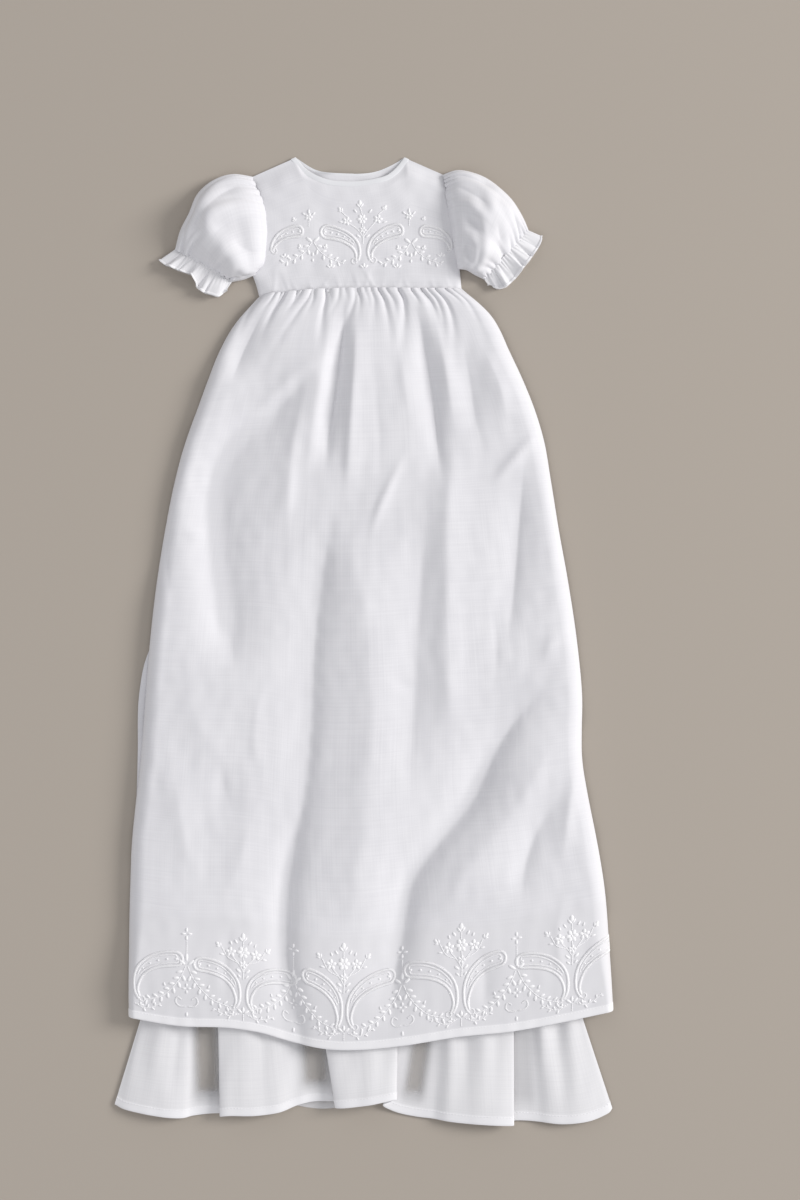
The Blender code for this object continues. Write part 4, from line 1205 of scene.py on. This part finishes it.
def bodice_band(work):
    for spine, widths, dots in BAND:
        work.paisley(spine, widths, 1, dots)
    work.line("stem", ((0, 396), (0, 406), (-1, 416)))
    work.flower(-1, 420, 5.0)
    work.flower(0, 409, 3.6, petals=5)
    work.line("stem", ((-1, 425), (-3, 432)))
    work.bud(-3, 436, 92, 6.6)
    for m, x, y in ((-1, -16, 418), (1, 15, 420)):
        work.line("stem", ((0, 402), (m * 6, 410), (x - m * 3, y - 3)))
        work.flower(x, y, 4.6, petals=5)
        work.line("stem", ((x, y + 4), (x + m * 5, y + 9)))
        work.bud(x + m * 7, y + 12, 90 - m * 35, 5.0)
        work.leaves(m, ((4.6, 403, 55, 5.4, 2.2), (7.5, 428, 40, 4.8, 2.0), (22, 417, 75, 4.4, 1.8)))
    for x, y, m in ((-54, 419, -1), (46, 420, 1)):
        work.line("stem", ((x, y - 6), (x, y)))
        work.flower(x, y + 3, 4.0, petals=5)
        work.spray(x, y + 2, 6.4, (140, 40), 4.4, 1.9)
        work.spray(x, y + 2, 6.4, (90,), 4.8, 1.9)
        work.bud(x + m * 15, y + 1, 90 - m * 25, 4.4)
    for x, y in ((-50, 397), (48, 396)):
        for m in (-1, 1):
            garland = ((x + m, y), (x + m * 6, y - 8), (x + m * 15, y - 15), (x + m * 30, y - 21))
            work.vine(garland, 6.0, 3.7, m)
            work.satin(x + m * 3.6, y + 2.4, 90 - m * 50, 7.4, 3.0)
            work.bud(x + m * 13, y - 4, 90 - m * 20, 4.6)
        work.satin(x, y - 12, 90, 4.0, 2.4)
        work.satin(x, y - 18, 90, 3.6, 2.2)
    for x, y in ((1, 371), (-32, 371), (34, 371), (-78, 381), (78, 382)):
        work.spray(x, y, 2.8, (90, 35, 145), 4.6, 2.1)


# %% Laying thread on the cloth
THREADS = {
    # along, across, height, pitch
    "bold": (1.0, 3.6, 1.7, 0.8),
    "fine": (0.95, 2.0, 1.3, 0.85),
    "stem": (2.3, 1.3, 1.2, 1.6),
    "hem": (2.1, 0.6, 0.5, 3.2),
}
SATIN_HEIGHT = 1.9
DROP = 0.2              # metres from the table to where a ray starts


def surface_of(piece):
    mesh = piece.data
    corners = [vertex.co for vertex in mesh.vertices]
    return BVHTree.FromPolygons(corners, [tuple(face.vertices) for face in mesh.polygons])


def laid(surface, xy, above=True):
    """Points in mm dropped straight onto a surface: (points in metres, normals), where there is cloth."""
    spots, normals = [], []
    way = Vector((0, 0, -1 if above else 1))
    for x, y in np.atleast_2d(xy):
        spot, normal, _, _ = surface.ray_cast(Vector((x * MM, y * MM, DROP if above else -DROP)), way)
        if spot is not None:
            spots.append(spot)
            normals.append(normal if normal.dot(way) < 0 else -normal)
    return np.array(spots).reshape(-1, 3), np.array(normals).reshape(-1, 3)


def vectors(mesh, name, values):
    mesh.attributes.new(name, "FLOAT_VECTOR", "POINT").data.foreach_set(
        "vector", np.asarray(values, np.float32).reshape(-1)
    )


def thread_lines(name, lines, kind, tree, thread):
    """lines are (points in metres, normals). Runs the stitch tree along them."""
    corners, normals, edges = [], [], []
    for spots, ups in lines:
        if len(spots) > 1:
            first = len(corners)
            corners += list(spots)
            normals += list(ups)
            edges += [(first + i, first + i + 1) for i in range(len(spots) - 1)]
    mesh = bpy.data.meshes.new(name)
    mesh.from_pydata(corners, edges, [])
    vectors(mesh, "up", normals)
    along, across, height, pitch = (size * MM for size in THREADS[kind])
    sizes = {"Along": along, "Across": across, "Height": height, "Pitch": pitch}
    return grown(name, mesh, tree, sizes, thread)


def satin_points(name, work, surface, tree, thread, above=True):
    corners, ups, alongs, sizes = [], [], [], []
    for spot, run, length, width in work.shapes:
        on, normal = laid(surface, spot, above)
        if len(on):
            corners.append(on[0])
            ups.append(normal[0])
            alongs.append((run[0], run[1], 0))
            sizes.append((length * MM, width * MM, SATIN_HEIGHT * MM))
    mesh = bpy.data.meshes.new(name)
    mesh.from_pydata(corners, [], [])
    for label, values in (("up", ups), ("along", alongs), ("size", sizes)):
        vectors(mesh, label, values)
    return grown(name, mesh, tree, {}, thread)


def joined(name, meshes, material):
    """Several meshes as one plain piece."""
    work = bmesh.new()
    for mesh in meshes:
        work.from_mesh(mesh)
    merged = bpy.data.meshes.new(name)
    work.to_mesh(merged)
    work.free()
    merged.materials.append(material)
    merged.shade_smooth()
    print(f"{name}: {sum(len(face.vertices) - 2 for face in merged.polygons)} triangles")
    return in_scene(name, merged)


def embroidered(name, work, piece, trees, thread, above=True):
    surface = surface_of(piece)
    meshes = []
    for kind, lines in work.lines.items():
        on_cloth = [laid(surface, line, above) for line in lines]
        meshes.append(thread_lines(f"{name}_{kind}", on_cloth, kind, trees[0], thread))
    meshes.append(satin_points(f"{name}_satin", work, surface, trees[1], thread, above))
    return joined(name, meshes, thread)


def seam_line(form, share, columns, wall):
    """One row of a panel, with its normals: where a line of stitches runs."""
    step = 0.004
    u, v = np.meshgrid(np.linspace(step, 1 - step, columns), (share - step, share, share + step))
    points = form(u, v)
    points = points[0] if isinstance(points, tuple) else points
    normals = grid_normals(points, False)
    return (points[1] + normals[1] * wall) * MM, normals[1]

# %% [markdown]
# ## Materials
#
# White cloth is told by its weave and by how it takes light, not by its colour. One recipe makes
# every lawn here: uneven threads run both ways along the piece's own grain, a fine plain weave sits
# under them, and a slow mottling keeps large areas from looking printed. All of it reads the
# `grain` map, so it follows the threads round a sleeve or down a fold.

# %% Shader maths
class Signal:
    """One output socket of a material, so that shader maths reads like maths."""

    def __init__(self, paint, socket):
        self.paint, self.socket = paint, socket

    def _math(self, operation, other):
        return self.paint.node("ShaderNodeMath", {"operation": operation}, self, other)

    def __add__(self, other):
        return self._math("ADD", other)

    def __sub__(self, other):
        return self._math("SUBTRACT", other)

    def __mul__(self, other):
        return self._math("MULTIPLY", other)


class Paint:
    """A material's node tree."""

    def __init__(self, name):
        self.material = bpy.data.materials.new(name)
        self.material.use_nodes = True
        self.tree = self.material.node_tree
        self.shader = self.tree.nodes["Principled BSDF"]

    def node(self, kind, settings, *values, output=0):
        """Adds one node: its settings first, then its socket values in order; None leaves one alone."""
        node = self.tree.nodes.new(kind)
        for key, value in settings.items():
            setattr(node, key, value)
        sockets = [socket for socket in node.inputs if socket.enabled]
        for socket, value in zip(sockets, values):
            self.set(socket, value)
        outputs = [socket for socket in node.outputs if socket.enabled]
        return Signal(self, outputs[output])

    def set(self, socket, value):
        if isinstance(value, Signal):
            self.tree.links.new(value.socket, socket)
        elif value is not None:
            socket.default_value = value

    def feed(self, name, value):
        self.set(self.shader.inputs[name], value)

    def mixed(self, factor, low, high):
        return self.node("ShaderNodeMix", {"data_type": "RGBA"}, factor, low, high)

    def span(self, value, low, high, to_low=0.0, to_high=1.0):
        """A smooth step of a value from one range to another."""
        settings = {"interpolation_type": "SMOOTHSTEP"}
        return self.node("ShaderNodeMapRange", settings, value, low, high, to_low, to_high)


# %% Lawn, thread and pearl
def lawn(name, light, shade, border=0.0, doubled=None, cover=None, streaks=1.0):
    """White cotton lawn. In metres along the grain, border is how far up a greyer band reaches and
    doubled is where a hem lies. cover is the alpha of its thinnest and its thickest cloth."""
    paint = Paint(name)
    grain = paint.node("ShaderNodeUVMap", {"uv_map": "grain"})
    scaled = {
        way: paint.node("ShaderNodeMapping", {}, grain, None, None, scale)
        for way, scale in {"warp": (820, 9, 1), "weft": (9, 820, 1), "slow": (14, 11, 1)}.items()
    }
    noise = {
        way: paint.node("ShaderNodeTexNoise", {"noise_dimensions": "2D"}, place, 1.0, 2.0, 0.5)
        for way, place in scaled.items()
    }
    threads = noise["warp"] * 0.5 + noise["weft"] * 0.5
    tone = (threads - 0.5) * (0.9 * streaks) + (noise["slow"] - 0.5) * 0.5
    shown = paint.span(tone, -0.30, 0.30)
    colour = paint.mixed(shown, shade + (1,), light + (1,))
    along = paint.node("ShaderNodeSeparateXYZ", {}, grain, output=1)
    if border:
        # A band reaching border up from the hem is drawn about 7% greyer than the lawn above it.
        grey_band = paint.span(along, border, border - 0.012, 0.0, 0.8)
        greyer = tuple(0.93 * value for value in light) + (1,)
        colour = paint.mixed(grey_band, colour, greyer)
    if doubled:
        low, high = doubled
        hem = paint.span(along, low - 0.0004, low + 0.0004) * paint.span(along, high + 0.0004, high - 0.0004)
        colour = paint.mixed(hem, colour, HEM_WHITE)
    paint.feed("Base Color", colour)
    weave = [
        paint.node("ShaderNodeTexWave", {"bands_direction": way}, grain, 270.0, 0.6, 1.0, 3.0)
        for way in ("X", "Y")
    ]
    relief = (weave[0] + weave[1]) * 0.10 + threads
    bump = paint.node("ShaderNodeBump", {}, 0.22, 0.00025)
    paint.set(bump.socket.node.inputs["Height"], relief)
    paint.feed("Normal", bump)
    paint.feed("Roughness", 0.92)
    paint.feed("Sheen Weight", 0.12)
    paint.feed("Sheen Roughness", 0.5)
    paint.feed("Specular IOR Level", 0.2)
    if cover is not None:
        share = paint.node("ShaderNodeAttribute", {"attribute_name": "cover"}, output=2)
        paint.feed("Alpha", share * (cover[1] - cover[0]) + cover[0])
    return paint.material


def plain(name, colour, roughness, coat=0.0):
    paint = Paint(name)
    paint.feed("Base Color", colour + (1,))
    paint.feed("Roughness", roughness)
    paint.feed("Coat Weight", coat)
    return paint.material


WHITE = (0.81, 0.805, 0.825)
WHITE_SHADE = (0.745, 0.74, 0.765)
HEM_WHITE = (0.87, 0.865, 0.88, 1)
GOWN = lawn("white_lawn", WHITE, WHITE_SHADE)
BORDERED = lawn("white_lawn_border", WHITE, WHITE_SHADE, border=0.118, doubled=(-0.001, 0.0087))
BINDING = lawn("neck_lawn", (0.83, 0.835, 0.85), (0.79, 0.795, 0.815), streaks=0.5)
# The frill's lawn is painted lighter than the gown's lawn: a painted highlight that offsets the shade on its
# steep flutes.
FRILL_PAINTED_LIGHTER = lawn("cuff_lawn_painted_lighter", (0.85, 0.845, 0.86), (0.80, 0.795, 0.81), doubled=(0.0172, 0.0200))
UNDER = lawn("under_lawn", WHITE, WHITE_SHADE)
FLOUNCE_HEM = (-0.001, 0.0097)
FLOUNCE_FRONT = lawn(
    "flounce_top_lawn", (0.83, 0.825, 0.835), (0.77, 0.765, 0.78), doubled=FLOUNCE_HEM, cover=(0.06, 0.98)
)
FLOUNCE_BACK = lawn(
    "flounce_under_lawn", (0.80, 0.80, 0.80), (0.74, 0.74, 0.745), doubled=FLOUNCE_HEM, cover=(0.07, 0.70)
)
THREAD = plain("white_thread", (0.92, 0.915, 0.925), 0.6)
PEARL = plain("pearl", (0.80, 0.78, 0.73), 0.3, coat=0.5)
THREAD.node_tree.nodes["Principled BSDF"].inputs["Sheen Weight"].default_value = 0.2
print("threads and lawns mixed")

# %% Embroidery and hem stitches
BACK_BORDER_Y = -366
TREES = line_stitch_tree(), satin_tree()


def up_from_hem(points):
    """x, and the height above the skirt's own hem line, as x, y on the table."""
    points = np.asarray(points, float)
    hem = through(column(HEM_ROWS, 0), column(HEM_ROWS, 1), points[..., 0])
    return np.stack([points[..., 0], hem + points[..., 1]], axis=-1)


front_work = Whitework(up_from_hem)
skirt_border(front_work)
skirt_embroidery = embroidered("skirt_front_embroidery", front_work, skirt_front_piece, TREES, THREAD)
back_work = Whitework(lambda points: np.asarray(points, float) + (0, BACK_BORDER_Y))
skirt_border(back_work, -232, 240)
back_embroidery = embroidered(
    "skirt_back_embroidery", back_work, skirt_back_piece, TREES, THREAD, above=False
)
bodice_work = Whitework(lambda points: np.asarray(points, float))
bodice_band(bodice_work)
bodice_embroidery = embroidered(
    "bodice_front_embroidery", bodice_work, bodice_front_piece, TREES, THREAD
)
hems = {
    # form, share of the way up, points along the hem, height over the panel's own points
    "skirt_front_hem_stitches": (skirt_front, (HEM_WIDTH - 1.2) / SKIRT_LENGTH, 500, CLOTH + 0.35),
    "flounce_front_hem_stitches": (flounce_front, 7.4 / FLOUNCE_LENGTH, 900, CLOTH + 0.3),
}
hem_stitches = {}
for name, (form, share, columns, wall) in hems.items():
    row = seam_line(form, share, columns, wall)
    hem_stitches[name] = joined(name, [thread_lines(name, [row], "hem", TREES[0], THREAD)], THREAD)

# %% [markdown]
# ## What each piece is
#
# Every piece rides on the gown's one body and stands for its plain solid. The table below also lists
# how big the cloth was before it was sewn; a gathered piece was cut wider than it lies.

CLOTHS = (
    # node, material, slot, flat width and length, area, held, what it rests on
    ("skirt_back", BORDERED, "gown_lawn", (0.56, 0.77), 0.35, "laid", ()),
    ("underskirt_back", UNDER, "underskirt_lawn", (0.44, 0.63), 0.21, "laid", ("skirt_back_cloth",)),
    ("underskirt_front", UNDER, "underskirt_lawn", (0.44, 0.70), 0.24, "laid", ("underskirt_back_cloth",)),
    ("flounce_back", FLOUNCE_BACK, "underskirt_lawn", (0.52, 0.22), None, "laid", ()),
    ("flounce_front", FLOUNCE_FRONT, "underskirt_lawn", (0.62, 0.16), None, "gathered",
     ("flounce_back_cloth",)),
    ("skirt_front", BORDERED, "gown_lawn", (0.58, 0.77), 0.37, "gathered", ("underskirt_front_cloth",)),
    ("bodice_back_left", GOWN, "gown_lawn", (0.125, 0.135), 0.014, "laid", ()),
    ("bodice_back_right", GOWN, "gown_lawn", (0.125, 0.135), 0.013, "laid", ()),
    ("bodice_front", GOWN, "gown_lawn", (0.215, 0.145), 0.024, "laid", ("bodice_back_left_cloth",)),
    ("neck_binding", BINDING, "binding_lawn", (0.25, 0.014), 0.0022, "laid", ()),
    ("sleeve_left", GOWN, "gown_lawn", (0.20, 0.11), 0.020, "gathered", ()),
    ("sleeve_right", GOWN, "gown_lawn", (0.20, 0.11), 0.019, "gathered", ()),
    ("sleeve_frill_left", FRILL_PAINTED_LIGHTER, "frill_lawn", (0.17, 0.019), None, "gathered", ("sleeve_left_cloth",)),
    ("sleeve_frill_right", FRILL_PAINTED_LIGHTER, "frill_lawn", (0.17, 0.019), None, "gathered", ("sleeve_right_cloth",)),
)
EXTRAS = {
    "skirt_front": [skirt_embroidery, hem_stitches["skirt_front_hem_stitches"]],
    "skirt_back": [back_embroidery],
    "bodice_front": [bodice_embroidery],
    "flounce_front": [hem_stitches["flounce_front_hem_stitches"]],
}
for node, material, slot, flat, area, held, rests_on in CLOTHS:
    piece = bpy.data.objects[f"{node}_cloth"]
    piece.data.materials.append(material)
    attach(piece, "root")
    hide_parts(node)
    extras = EXTRAS.get(node, [])
    for extra in extras:
        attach(extra, "root")
    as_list(rests_on)
    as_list(extras)
for number in (1, 2, 3):
    piece = bpy.data.objects[f"back_button_{number}_shell"]
    piece.data.materials.append(PEARL)
    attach(piece, "root")
    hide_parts(f"back_button_{number}")

# %% [markdown]
# ## Table, light and camera
#
# The camera looks straight down. One large soft light from the right rakes across the cloth, so
# that every gather throws a small shadow, and a weak fill keeps the shadows open.

# %% Studio
def area_light(name, place, aim, size, power, colour):
    data = bpy.data.lights.new(name, "AREA")
    data.shape = "DISK"
    data.size = size
    data.energy = power
    data.color = colour
    light = in_scene(name, data)
    light.location = place
    light.rotation_euler = (Vector(aim) - Vector(place)).to_track_quat("-Z", "Y").to_euler()


area_light("key", (6.0, 1.6, 3.0), (0, 0, 0), 2.7, 375, (1.0, 0.985, 0.975))
area_light("fill", (-1.8, -1.2, 2.2), (0, 0, 0), 2.4, 11, (0.97, 0.98, 1.0))
world = bpy.data.worlds.new("soft_room")
world.use_nodes = True
world.node_tree.nodes["Background"].inputs["Color"].default_value = (0.97, 0.97, 1.0, 1)
world.node_tree.nodes["Background"].inputs["Strength"].default_value = 0.55
bpy.context.scene.world = world

TABLE_HALF = 14.0
tabletop = bpy.data.meshes.new("tabletop")
tabletop.from_pydata(
    [(x * TABLE_HALF, y * TABLE_HALF, 0) for x, y in ((-1, -1), (1, -1), (1, 1), (-1, 1))], [], [(0, 1, 2, 3)]
)
tabletop.materials.append(plain("table_top", (0.435, 0.388, 0.334), 0.9))
floor = in_scene("tabletop", tabletop)
floor.location.z = -0.0002

camera_data = bpy.data.cameras.new("camera")
camera_data.lens = 85
camera = in_scene("camera", camera_data)
camera.location = (0.037, 0.040, 2.833)
bpy.context.scene.camera = camera
bpy.context.scene.view_settings.view_transform = "Standard"
